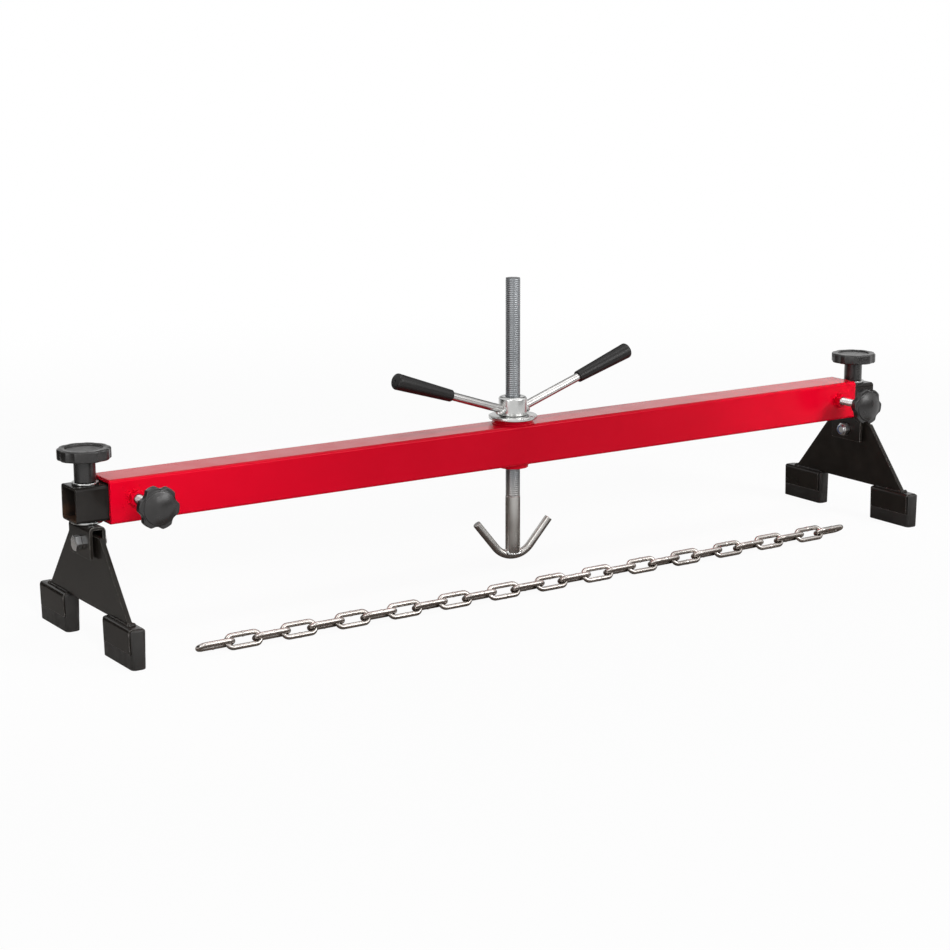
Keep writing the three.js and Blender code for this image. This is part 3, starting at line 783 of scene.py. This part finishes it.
rod_low, rod_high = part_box("hook_rod")
hook_axis = rod_low.z + HOOK_WIRE
thread_low = ROD_PLAIN_TOP - OVERRUN
thread = threaded(ROD_RADIUS, ROD_PITCH, thread_low, rod_high.z, ROD_CHAMFER, ROUND, ROD_DEPTH_SHARE)
make("rod_thread", thread, ROD, "hook_rod", "rod_steel", "hook_rod", smooth=SMOOTH_THREAD)
make("rod_shank", turned([
    (ROD_PLAIN_RADIUS - SHANK_CAP, hook_axis),
    (ROD_PLAIN_RADIUS, hook_axis),
    (ROD_PLAIN_RADIUS, ROD_PLAIN_TOP - SHANK_EDGE),
    (ROD_PLAIN_RADIUS - SHANK_EDGE, ROD_PLAIN_TOP),
    (ROD_RADIUS - SHANK_CAP, ROD_PLAIN_TOP),
]), ROD_PLAIN, "hook_rod", "rod_steel")

bend_angles = (-90 - HOOK_RISE, HOOK_RISE - 90)
bend = [(x, 0, z) for x, z in arc(0, hook_axis + HOOK_BEND, HOOK_BEND, *bend_angles, 41)]
along_arm = Vector((-cos(radians(HOOK_RISE)), 0, sin(radians(HOOK_RISE))))
arm = straight(Vector(bend[0]) + HOOK_ARM * along_arm, bend[0], 8)[:-1]
hook_turn = spin(HOOK_TURN)
hook_wire = tube([*arm, *bend, *((-p.x, 0, p.z) for p in reversed(arm))], HOOK_WIRE, 32)
hook_shape = moved(hook_wire, hook_turn)
hook = make("hook", hook_shape, ROD_PLAIN, "hook_rod", "rod_steel")
round_over = hook.modifiers.new("sawn_ends", "BEVEL")
round_over.width = HOOK_EDGE
round_over.segments = 2
round_over.limit_method = "ANGLE"
round_over.angle_limit = SMOOTH_THREAD

weld_points = []
for x, y, _ in circle(ROD_PLAIN_RADIUS, 0, HOOK_WELD_STEPS):
    fall = HOOK_WIRE - sqrt(HOOK_WIRE ** 2 - min(abs(y), HOOK_WIRE) ** 2)
    z = hook_axis + HOOK_WIRE - HOOK_WELD_FALL * fall + WELD_OUT
    weld_points.append((x, y * HOOK_WELD_SQUEEZE, z))
make("hook_weld", moved(ring_weld(weld_points, *HOOK_WELD), hook_turn), ZINC, "hook_rod", "rod_steel")

# Clamp screws
STAR_THICK = 9 * MM
STAR_LOBES = (24.1 * MM, 6, 3.2 * MM, radians(16), radians(21))  # radius, number, groove, its half, turn
STAR_DOME_RADIUS = 19 * MM
STAR_DOME_HEIGHT = 6 * MM
STAR_DOME_FILLET = 0.9 * MM
STAR_RIM = 1.4 * MM
STAR_RIM_ROUND = 0.9 * MM
STAR_FRONT_ROUND = 1.7 * MM
STAR_BACK_ROUND = 1.6 * MM
STAR_HUB = 10 * MM
STAR_HUB_ROUND = 0.8 * MM
STAR_HUB_FLARE = 0.6 * MM
STUD_RADIUS = 5 * MM
STUD_PITCH = 1.5 * MM
STUD_CHAMFER = 1 * MM
LOBE_EASE = 0.02  # how softly a groove runs out into its lobes


def lobed(height, inset, radius, lobes, groove, half, turn=0.0):
    """Ring of broad lobes; half is the half angle of a groove between them."""
    made = []
    count = lobes * LOBE_STEPS
    period = 2 * pi / lobes
    for i in range(count):
        angle = 2 * pi * i / count
        off = abs((angle + period / 2) % period - period / 2) / half
        rise = 1 - off * off
        dip = (rise + sqrt(rise * rise + LOBE_EASE)) / 2
        reach = radius - groove * dip - inset
        made.append((reach * cos(angle + turn), reach * sin(angle + turn), height))
    return made


def lobed_knob(below, above, back, front, back_round, front_round, front_steps, *lobes):
    """Knob with a lobed rim between two heights and a profile below and above it."""
    rim = [(back, 2 * back_round)]
    rim += [(back + back_round * (1 - c), back_round * (1 - s)) for s, c in quarter(5)]
    rim += [(front - front_round * (1 - s), front_round * (1 - c)) for s, c in quarter(front_steps)]
    sides = lobes[1] * LOBE_STEPS
    return loft([
        *round_rings(below, sides),
        *(lobed(height, inset, *lobes) for height, inset in rim),
        *round_rings(above, sides),
    ])


def dome(radius, height, base):
    """Profile of a shallow dome that bulges towards +Z, without its rim and its top."""
    sphere = (radius ** 2 + height ** 2) / (2 * height)
    return arc(0, base + height - sphere, sphere, degrees(acos(radius / sphere)), 90, 10)[1:-1]


def star_knob(hub_back, front, bore_top):
    """Lobed knob along +Z with a hub behind and a dome that stands proud of its face."""
    face = front - STAR_DOME_HEIGHT
    back = face - STAR_THICK
    bore = STUD_RADIUS + FIT
    crown = face + STAR_RIM
    hub = [
        (POLE, bore_top), (bore, bore_top), (bore, hub_back + EDGE), (bore + EDGE, hub_back),
        (STAR_HUB - STAR_HUB_ROUND, hub_back), (STAR_HUB, hub_back + STAR_HUB_ROUND),
        (STAR_HUB, back - STAR_HUB_FLARE), (STAR_HUB + STAR_HUB_FLARE, back),
    ]
    cap = [
        (STAR_DOME_RADIUS + STAR_DOME_FILLET, face),
        (STAR_DOME_RADIUS + EDGE / 2, face + STAR_DOME_FILLET / 3),
        (STAR_DOME_RADIUS, face + STAR_DOME_FILLET),
        *rounded(STAR_DOME_RADIUS, crown, STAR_RIM_ROUND, 0, 4),
        *dome(STAR_DOME_RADIUS - STAR_RIM_ROUND, STAR_DOME_HEIGHT - STAR_RIM, crown),
        (POLE, front),
    ]
    return lobed_knob(hub, cap, back, face, STAR_BACK_ROUND, STAR_FRONT_ROUND, 6, *STAR_LOBES)


for name, sign in SIDES.items():
    stud_low, stud_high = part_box(f"{name}_clamp_stud")
    knob_low, knob_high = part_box(f"{name}_clamp_knob")
    stud = threaded(STUD_RADIUS, STUD_PITCH, -stud_high.y, -stud_low.y, STUD_CHAMFER)
    make(f"{name}_stud_thread", at_clamp(stud, sign), ZINC, f"{name}_clamp_stud", "zinc_steel",
         f"{name}_clamp_stud", smooth=SMOOTH_THREAD)
    knob = star_knob(-knob_high.y, -knob_low.y, -stud_low.y + FIT)
    make(f"{name}_star_knob", at_clamp(knob, sign), KNOB, f"{name}_clamp_knob", "knob_plastic",
         f"{name}_clamp_knob")

# Arms with all that they carry
SWIVEL_STUD = 6 * MM
SWIVEL_PITCH = 1.75 * MM
INSERT_RADIUS = 8.5 * MM
WHEEL_LOBES = (29.7 * MM, 10, 1.1 * MM, radians(11))
WHEEL_THICK = 12.5 * MM
WHEEL_RECESS = 21 * MM
WHEEL_RECESS_DEPTH = 1.5 * MM
WHEEL_RECESS_ROUND = 0.8 * MM
WHEEL_FLOOR_ROUND = 0.4 * MM
WHEEL_FLOOR_RING = 8 * MM
WHEEL_ROUND = 1.8 * MM
SLEEVE_RADIUS = 12 * MM
SLEEVE_FILLET = 1.5 * MM
PIVOT_Z = 116 * MM
BOLT_RADIUS = 5 * MM
BOLT_RECESS = 0.9 * MM  # from the nut's end in to the bolt's end
BOLT_CHAMFER = 0.7 * MM
BOLT_PLAY = 0.2 * MM  # between the bolt and the nut's bore
HEAD_ACROSS = 16 * MM
HEAD_HEIGHT = 6.4 * MM
HEAD_FLANGE_SHARE = 0.95
HEAD_FLANGE_SUNK = 0.2 * MM
HEAD_FLANGE_EDGE = 0.1 * MM
COLLAR_RADIUS = 7 * MM
COLLAR_HEIGHT = 3.2 * MM
COLLAR_ROUND = 1.2 * MM
COLLAR_LIP = 0.4 * MM
COLLAR_SEAT = 1.6 * MM  # groove round the bolt that holds the nylon ring
NYLON_WIDTH = 1.5 * MM
NYLON_PLAY = 0.1 * MM
PLATE_TOP_HALF = 39 * MM
PLATE_FOOT_HALF = 106 * MM
PLATE_CORNER = 1.2 * MM
PLATE_STEP = 2 * MM
PLATE_INSET_SHARE = 1.3  # of the edge; less than the corner's radius
SADDLE_OUTER = 17.8 * MM
SADDLE_SKIRT = 27.5 * MM
SADDLE_RISE = 0.5 * MM  # of the saddle's top above the rubber
SPLAY_SHARE = 0.12
PAD_END_SHOWN = 4.5 * MM
PAD_SIDE_IN = 0.6 * MM
PAD_FOOT_ROUND = 1 * MM
PAD_SLOT = 2.3 * MM
FOOT_WELD = 2.3 * MM
FOOT_WELD_STEPS = 34
FOOT_WELD_NEAR = 3 * MM
FOOT_WELD_FAR = 4 * MM
FOOT_WELD_SEED = 11
END_WELD = 2.7 * MM
END_WELD_STEPS = 12
END_WELD_IN = 1.5 * MM
END_WELD_SQUEEZE = 0.8
END_WELD_SEED = 5


def divided(outline, longest):
    """Outline with its long sides cut into short steps."""
    made = []
    for here, after in zip(outline, outline[1:] + outline[:1]):
        here, after = Vector(here), Vector(after)
        steps = max(1, ceil((after - here).length / longest))
        made += [tuple(here.lerp(after, i / steps)) for i in range(steps)]
    return made


def prism(outline, low, high, edge, hole, hole_radius):
    """Plate between two X values from (y, z) points, with broken edges and a round hole."""
    count = len(outline)

    def ring_at(x, inset):
        made = []
        for i in range(count):
            before, here, after = (Vector(outline[(i + k) % count]) for k in (-1, 0, 1))
            one, two = (here - before).normalized(), (after - here).normalized()
            out = Vector((one.y + two.y, -one.x - two.x)) / max(1 + one.dot(two), 0.2)
            made.append((x, here.x - inset * out.x, here.y - inset * out.y))
        return made

    def bore_at(x):
        return [(x, *(hole + (Vector(p) - hole).normalized() * hole_radius)) for p in outline]

    steps = [(0, PLATE_INSET_SHARE), (0, 1), (1 / 3, 1 / 3), (1, 0)]
    return loft([
        bore_at(low),
        *(ring_at(low + deep * edge, inset * edge) for deep, inset in steps),
        *(ring_at(high - deep * edge, inset * edge) for deep, inset in reversed(steps)),
        bore_at(high),
    ], endless=True)


def rounded_outline(corners, radius, steps=5):
    made = []
    count = len(corners)
    for i in range(count):
        before, here, after = (Vector(corners[(i + k) % count]) for k in (-1, 0, 1))
        one, two = (before - here).normalized(), (after - here).normalized()
        half = acos(one.dot(two)) / 2
        reach = radius / tan(half)
        start, end = here + one * reach, here + two * reach
        centre = here + (one + two).normalized() * (radius / sin(half))
        for k in range(steps + 1):
            point = start.lerp(end, k / steps)
            made.append(tuple(centre + (point - centre).normalized() * radius))
    return made


def splayed(shape, top):
    """Widens a shape upwards along X, by a share that it reaches at the given height."""
    return [Vector((p.x * (1 + SPLAY_SHARE * p.z / top), p.y, p.z)) for p in shape[0]], shape[1]


def folded(outer, height, wall, corner, start, end, top):
    """Strip folded to an upside-down U, from one Y value to another."""
    def at(y, inset):
        half, inner = outer / 2 - inset, outer / 2 - wall + inset
        roof, foot, crown = top - inset, top + inset - height, top + inset - wall
        radius, bore_radius = corner - inset, max(corner - wall, EDGE) + inset
        section = [
            (-half, foot),
            *arc(radius - half, roof - radius, radius, 180, 90),
            *arc(half - radius, roof - radius, radius, 90, 0),
            (half, foot),
            (inner, foot),
            *arc(inner - bore_radius, crown - bore_radius, bore_radius, 0, 90),
            *arc(bore_radius - inner, crown - bore_radius, bore_radius, 90, 180),
            (-inner, foot),
        ]
        return [(x, y, z) for x, z in section]
    return loft([at(start, EDGE), at(start + EDGE, 0), at(end - EDGE, 0), at(end, EDGE)])


def hand_wheel(low, high, bore_top):
    """Fluted wheel with a shallow dish in its top and a sleeve below, bored for its insert."""
    base = high - WHEEL_THICK
    floor = high - WHEEL_RECESS_DEPTH
    bore = INSERT_RADIUS + FIT
    sleeve = [
        (POLE, bore_top), (bore, bore_top), (bore, low + EDGE), (bore + EDGE, low),
        (SLEEVE_RADIUS - EDGE, low), (SLEEVE_RADIUS, low + EDGE),
        *arc(SLEEVE_RADIUS + SLEEVE_FILLET, base - SLEEVE_FILLET, SLEEVE_FILLET, 180, 90, 4),
    ]
    dish = [
        (WHEEL_RECESS + WHEEL_RECESS_ROUND, high), (WHEEL_RECESS + EDGE / 2, high - EDGE / 2),
        (WHEEL_RECESS, high - WHEEL_RECESS_ROUND), (WHEEL_RECESS, floor + 0.75 * WHEEL_FLOOR_ROUND),
        (WHEEL_RECESS - WHEEL_FLOOR_ROUND, floor), (WHEEL_FLOOR_RING, floor), (POLE, floor),
    ]
    return lobed_knob(sleeve, dish, base, high, WHEEL_ROUND, WHEEL_ROUND, 5, *WHEEL_LOBES)


class Side:
    """One end of the bar: its arm and foot, made about the foot's upright axis."""

    def __init__(self, name, sign):
        self.name = name
        self.sign = sign
        self.axis_x = middle(f"{name}_upper_washer").x

    def box(self, node):
        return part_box(f"{self.name}_{node}")

    def make(self, part, shape, material, body, slot, *nodes, cuts=(), smooth=SMOOTH):
        """Piece of this side; its name, body and nodes are given without the side."""
        own_nodes = [f"{self.name}_{node}" for node in nodes]
        own_cuts = [shifted(cut, self.axis_x) for cut in cuts]
        make(f"{self.name}_{part}", shifted(shape, self.axis_x), material, f"{self.name}_{body}", slot,
             *own_nodes, cuts=own_cuts, smooth=smooth)

    def arm(self):
        low, high = self.box("arm_tube")
        start, end = low.x - self.axis_x, high.x - self.axis_x
        arm = shifted(square_tube(high.z - low.z, ARM_WALL, ARM_CORNER, start, end), z=(low.z + high.z) / 2)
        hole = cylinder(SWIVEL_STUD + FIT, low.z - OVERRUN, high.z + OVERRUN)
        self.make("arm", arm, ARM_BLACK, "arm", "black_paint", "arm_tube", cuts=[hole])
        for which, body in (("upper", "arm"), ("lower", "clevis")):
            node = f"{which}_washer"
            plated = washer(f"{self.name}_{node}", SWIVEL_STUD + FIT)
            self.make(f"{node}_plated", plated, ZINC, body, "zinc_steel", node)

    def clevis(self):
        low, high = self.box("clevis")
        top = self.box("lower_washer")[0].z - FIT
        outer = high.x - low.x
        strap = folded(outer, top - low.z, CLEVIS_BAR, CLEVIS_BEND, low.y, high.y, top)
        bolt_hole = shifted(along_x(cylinder(BOLT_RADIUS + FIT, -outer, outer)), z=PIVOT_Z)
        self.make("clevis_strap", strap, BLACK, "clevis", "black_paint", "clevis", cuts=[bolt_hole])
        stud = threaded(SWIVEL_STUD, SWIVEL_PITCH, top - CLEVIS_BAR, high.z, STUD_CHAMFER)
        self.make("swivel_stud", stud, ZINC, "clevis", "black_paint", smooth=SMOOTH_THREAD)

    def knob(self):
        insert_low, insert_high = self.box("knob_insert")
        insert = ring(INSERT_RADIUS, SWIVEL_STUD + FIT, insert_low.z, insert_high.z)
        self.make("insert", insert, BRASS, "knob_insert", "brass", "knob_insert")
        low, high = self.box("hand_knob")
        wheel = hand_wheel(low.z, high.z, insert_high.z + FIT)
        self.make("wheel", wheel, KNOB, "hand_knob", "knob_plastic", "hand_knob")

    def bolt(self):
        """Pivot bolt and nut, made along +X for the right side and turned for the left."""
        clevis_low, clevis_high = self.box("clevis")
        head_base = (clevis_high.x - clevis_low.x) / 2 + FIT
        turn = 0 if self.sign > 0 else pi
        outward = Matrix.Translation((0, 0, PIVOT_Z)) @ spin(turn)
        inward = outward @ spin(pi)
        head = hex_bar(HEAD_ACROSS, head_base, head_base + HEAD_HEIGHT, chamfer_low=False)
        flange = bar(HEAD_ACROSS / 2 * HEAD_FLANGE_SHARE, head_base - HEAD_FLANGE_SUNK,
                     head_base + 2 * HEAD_FLANGE_SUNK, HEAD_FLANGE_EDGE)
        nut_low, nut_high = self.box("pivot_nut")
        nut_end = head_base + nut_high.x - nut_low.x
        screw = threaded(BOLT_RADIUS, STUD_PITCH, BOLT_RECESS - nut_end, head_base, BOLT_CHAMFER)
        self.make("bolt", moved(along_x(merged(head, flange, screw)), outward), BOLT, "clevis", "zinc_steel",
                  "pivot_bolt", smooth=SMOOTH_BOLT)
        hex_end = nut_end - COLLAR_HEIGHT
        nut = hex_bar(HEAD_ACROSS, head_base, hex_end, BOLT_RADIUS + BOLT_PLAY)
        collar = turned([
            (BOLT_RADIUS + COLLAR_SEAT, hex_end - EDGE),
            (COLLAR_RADIUS, hex_end - EDGE),
            *arc(COLLAR_RADIUS - COLLAR_ROUND, nut_end - COLLAR_ROUND, COLLAR_ROUND, 0, 90, 6),
            (BOLT_RADIUS + 2 * COLLAR_LIP, nut_end - COLLAR_LIP),
        ], endless=True)
        self.make("nut", moved(along_x(merged(nut, collar)), inward), BOLT, "clevis", "zinc_steel",
                  "pivot_nut", smooth=SMOOTH_BOLT)
        outer, inner = BOLT_RADIUS + NYLON_WIDTH, BOLT_RADIUS + NYLON_PLAY
        nylon = ring(outer, inner, hex_end, nut_end - EDGE, FIT)
        self.make("nylon_ring", moved(along_x(nylon), inward), NYLON, "clevis", "zinc_steel")

    def foot(self):
        rubber_top = self.box("front_pad")[1].z
        frame_top = self.box("foot_frame")[1].z
        outline = divided(rounded_outline([
            (-PLATE_FOOT_HALF, rubber_top), (PLATE_FOOT_HALF, rubber_top),
            (PLATE_TOP_HALF, frame_top), (-PLATE_TOP_HALF, frame_top),
        ], PLATE_CORNER), PLATE_STEP)
        hole, half = Vector((0, PIVOT_Z)), PLATE_THICK / 2
        plate = prism(outline, -half, half, PLATE_EDGE, hole, BOLT_RADIUS + FIT)
        self.make("foot_plate", plate, BLACK, "foot", "black_paint", "foot_frame")
        for which in ("front", "rear"):
            low, high = self.box(f"{which}_pad")
            start, end = low.y + PAD_END_SHOWN, high.y - PAD_END_SHOWN
            top = rubber_top + SADDLE_RISE
            saddle = folded(SADDLE_OUTER, SADDLE_SKIRT, SADDLE_WALL, SADDLE_CORNER, start, end, top)
            self.make(f"{which}_saddle", splayed(saddle, top), BLACK, "foot", "black_paint")
            self.pad(which, low, high, start, end, top)
            self.foot_welds(which, 1 if which == "rear" else -1, start, end, top)

    def pad(self, which, low, high, start, end, top):
        """Rubber block with the rebate that holds its saddle."""
        def outline(z, inset):
            points = rounded_rectangle(SADDLE_OUTER - PAD_SIDE_IN, high.y - low.y, PAD_CORNER, inset)
            return [(x, (low.y + high.y) / 2 + y, z) for x, y in points]

        block = loft([
            outline(0, PAD_ROUND),
            outline(0, PAD_FOOT_ROUND),
            outline(FIT, FIT),
            outline(PAD_FOOT_ROUND, 0),
            *(outline(high.z - PAD_ROUND * (1 - s), PAD_ROUND * (1 - c)) for s, c in quarter(6)),
            outline(high.z, PAD_ROUND + EDGE),
        ])
        rebate = folded(SADDLE_OUTER + 2 * OVERRUN, SADDLE_SKIRT + FIT + OVERRUN,
                        SADDLE_WALL + FIT + OVERRUN, SADDLE_CORNER,
                        start - PAD_SLOT, end + PAD_SLOT, top + OVERRUN)
        self.make(f"{which}_rubber", splayed(block, top), RUBBER, "foot", "rubber", f"{which}_pad",
                  cuts=[splayed(rebate, top)])

    def foot_welds(self, which, way, start, end, top):
        """Weld beads round the plate's end and along both its sides."""
        reach = PLATE_THICK / 2 + WELD_OUT
        around_end = []
        for i in range(END_WELD_STEPS + 1):
            angle = pi * i / END_WELD_STEPS
            y = PLATE_FOOT_HALF - END_WELD_IN + END_WELD_SQUEEZE * reach * sin(angle)
            around_end.append((reach * cos(angle), way * y, top))
        end_bead = bead(around_end, END_WELD, END_WELD_SEED)
        self.make(f"{which}_weld_end", end_bead, BLACK, "foot", "black_paint")
        near, far = sorted((abs(start), abs(end)))
        first, last = near + FOOT_WELD_NEAR, min(far - FOOT_WELD_FAR, PLATE_FOOT_HALF - OVERRUN)
        for face in (-1, 1):
            x, z = face * (PLATE_THICK / 2 + WELD_NEAR), top - FIT
            line = straight((x, way * first, z), (x, way * last, z), FOOT_WELD_STEPS)
            part = f"{which}_weld_" + ("outer" if face * self.sign > 0 else "inner")
            self.make(part, bead(line, FOOT_WELD, FOOT_WELD_SEED), BLACK, "foot", "black_paint")


for name, sign in SIDES.items():
    side = Side(name, sign)
    side.arm()
    side.clevis()
    side.knob()
    side.bolt()
    side.foot()

# Chain
LINK_WIRE = 3 * MM
LINK_PITCH = 35.3 * MM
LINK_INNER_WIDTH = 7.8 * MM
LINK_HALF = LINK_INNER_WIDTH / 2 + LINK_WIRE
LINK_LEG = LINK_PITCH - LINK_INNER_WIDTH
LINK_LEG_STEPS = 26
LINK_BEND_STEPS = 20
LINK_WELD_REACH = 1.6 * MM
LINK_GROOVE_REACH = 0.5 * MM
LINK_GROOVE_SHARE = 0.07
LINK_SWELL_SHARES = (0.09, 0.14)
STEEP_ROLL = radians(57)
CHAIN_SKEW = radians(0.72)


def link_shape(seed):
    """A link in the XY plane with a weld collar on one leg."""
    leg = [(LINK_LEG * (i / LINK_LEG_STEPS - 0.5), -LINK_HALF) for i in range(LINK_LEG_STEPS)]
    bend = arc(LINK_LEG / 2, 0, LINK_HALF, -90, 90, LINK_BEND_STEPS)[:-1]
    path = [(half * x, half * y, 0) for half in (1, -1) for x, y in leg + bend]
    chance = Random(seed)
    weld = chance.uniform(-1, 1) * MM
    swell = chance.uniform(*LINK_SWELL_SHARES)

    def radius(share):
        x, y, _ = path[min(int(share * (len(path) - 1) + 0.5), len(path) - 1)]
        if y != -LINK_HALF:
            return LINK_WIRE
        near = exp(-(((x - weld) / LINK_WELD_REACH) ** 2))
        groove = exp(-(((x - weld - LINK_WELD_REACH) / LINK_GROOVE_REACH) ** 2))
        return LINK_WIRE * (1 + swell * near - LINK_GROOVE_SHARE * groove)
    return tube(path, radius, WIRE, endless=True)


for index, node in enumerate(sorted(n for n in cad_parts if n.startswith("chain_link_"))):
    roll = STEEP_ROLL if index % 2 == 1 else STEEP_ROLL - pi / 2
    place = Matrix.Translation(middle(node)) @ spin(CHAIN_SKEW) @ spin(roll, "X")
    if index % 4 < 2:
        place = place @ spin(pi)
    points, faces = moved(link_shape(index), place)
    resting = [Vector((p.x, p.y, max(p.z, 0))) for p in points]
    make(f"{node}_welded", (resting, faces), CHAIN, node, "chain_steel", node)

# Floor, light and world
FLOOR_REACH = 30
FLOOR_Z = -0.2 * MM
FLOOR_TONE = (0.88, 0.88, 0.88)
FLOOR_WHITE_NEAR = 0.94  # how much of the seen floor is plain white, near the object
FADE_START = 0.8
FADE_END = 2.4
WORLD_LIGHT = 0.32
CLOTH_HEIGHT = 0.2 * MM


def white_to_eyes(n):
    """1 for camera, glossy and transmission rays, 0 for the rays that light the object."""
    rays = [n.add("LightPath", {}, f"Is {kind} Ray") for kind in ("Camera", "Glossy", "Transmission")]
    return n.maths("MAXIMUM", n.maths("MAXIMUM", rays[0], rays[1]), rays[2])


def floor_paint():
    """White floor that keeps a soft shadow near the object and fades into the backdrop."""
    paint = bpy.data.materials.new("floor")
    n = Nodes(paint)
    far = n.add("VectorMath", {0: n.add("TexCoord", {}, "Object")}, "Value", operation="LENGTH")
    fade = n.scaled(far, FLOOR_WHITE_NEAR, 1.0, FADE_START, FADE_END, interpolation_type="SMOOTHSTEP")
    share = n.maths("MULTIPLY", white_to_eyes(n), fade)
    matte = n.add("BsdfDiffuse", {"Color": FLOOR_TONE})
    n.end("OutputMaterial", n.add("MixShader", {0: share, 1: matte, 2: n.add("Emission", {"Strength": 1})}))
    return paint


def cloth(name, tone):
    made = bpy.data.materials.new(name)
    n = Nodes(made)
    n.end("OutputMaterial", n.add("BsdfPrincipled", {"Base Color": tone, "Roughness": 1}))
    return made


def stage_plane(name, corners, material):
    mesh = bpy.data.meshes.new(name)
    mesh.from_pydata(corners, [], [(0, 1, 2, 3)])
    mesh.materials.append(material)
    plane = placed(name, mesh)
    return plane


def standing(place, width, low, high):
    """Corners of an upright flag that faces the middle."""
    here = Vector((*place, 0))
    across = Vector((-here.y, here.x, 0)).normalized() * width / 2
    up, base = Vector((0, 0, high)), Vector((0, 0, low))
    return [here - across + base, here + across + base, here + across + up, here - across + up]


def lying(low_x, high_x, low_y, high_y, height=CLOTH_HEIGHT):
    corners = ((low_x, low_y), (high_x, low_y), (high_x, high_y), (low_x, high_y))
    return [(x, y, height) for x, y in corners]


stage_plane("floor", lying(-FLOOR_REACH, FLOOR_REACH, -FLOOR_REACH, FLOOR_REACH, FLOOR_Z), floor_paint())

# Dark flags and floor cloths that show only in reflections, and a brown sheet of painted floor shade
BLACK_CLOTH = cloth("black_cloth", (0.05, 0.047, 0.045))
# Painted floor shade: a brown sheet that stands in for the shaded floor under the chain, seen only in
# reflections.
FLOOR_SHADE_SHEET = cloth("floor_shade_brown", (0.18, 0.155, 0.135))
GREY_CLOTH = cloth("grey_cloth", (0.42, 0.40, 0.38))
FLAGS = {
    "flag_left": (standing((-0.95, 0.60), 1.7, 0, 0.45), BLACK_CLOTH),
    "flag_back": (standing((0.88, 1.32), 2.4, 0, 0.22), BLACK_CLOTH),
    "flag_high": (standing((0.75, 1.1), 2.2, 0.66, 1.7), BLACK_CLOTH),
    "flag_front": (standing((0.84, -1.25), 1.6, 0, 0.35), BLACK_CLOTH),
    # painted floor shade under the chain
    "floor_cloth_middle": (lying(-0.51, 0.7, -0.21, 0.6), FLOOR_SHADE_SHEET),
    "floor_cloth_left": (lying(-1.1, -0.53, -0.15, 0.8), GREY_CLOTH),
}
for name, (corners, material) in FLAGS.items():
    panel = stage_plane(name, corners, material)
    panel.visible_camera = False
    panel.visible_diffuse = False
    panel.visible_shadow = False

world = bpy.data.worlds.new("studio")
scene.world = world
n = Nodes(world)
strength = n.scaled(white_to_eyes(n), WORLD_LIGHT, 1.0, 0, 1)
n.end("OutputWorld", n.add("Background", {"Color": (1, 1, 1), "Strength": strength}))


def soft_light(name, place, target, size, watts, spread=180, glossy=True, diffuse=True):
    """Lamp that faces a target, its spread in degrees."""
    light = bpy.data.lights.new(name, "AREA")
    light.shape = "RECTANGLE"
    light.size, light.size_y = size
    light.energy = watts
    light.spread = radians(spread)
    lamp = placed(name, light)
    lamp.location = place
    lamp.rotation_euler = (Vector(target) - Vector(place)).to_track_quat("-Z", "Y").to_euler()
    lamp.visible_camera = False
    lamp.visible_glossy = glossy
    lamp.visible_diffuse = diffuse


for name, diffuse in (("key", True), ("key_sheen", False)):
    soft_light(name, (0.95, -1.75, 1.05), (0, 0, 0.15), (1.1, 0.45), 11, diffuse=diffuse)
soft_light("edge_sheen", (-2.2, -0.7, 0.45), (-0.5, 0, 0.1), (0.5, 0.6), 5, diffuse=False)
soft_light("strip", (0, -2.0, 0.95), (0, 0, 0.2), (0.12, 0.5), 3)
soft_light("left", (-1.3, -1.2, 0.9), (-0.5, 0, 0.15), (0.2, 0.5), 3)
soft_light("top", (0, -0.4, 2.2), (0, 0, 0.1), (2.4, 0.4), 10)
soft_light("left_fill", (-0.78, -1.15, 0.75), (-0.62, 0, 0.17), (0.3, 0.3), 0.5, 36, False)
soft_light("right_fill", (0.80, -1.15, 0.75), (0.62, 0, 0.17), (0.3, 0.3), 0.5, 36, False)

scene.view_settings.view_transform = "Standard"
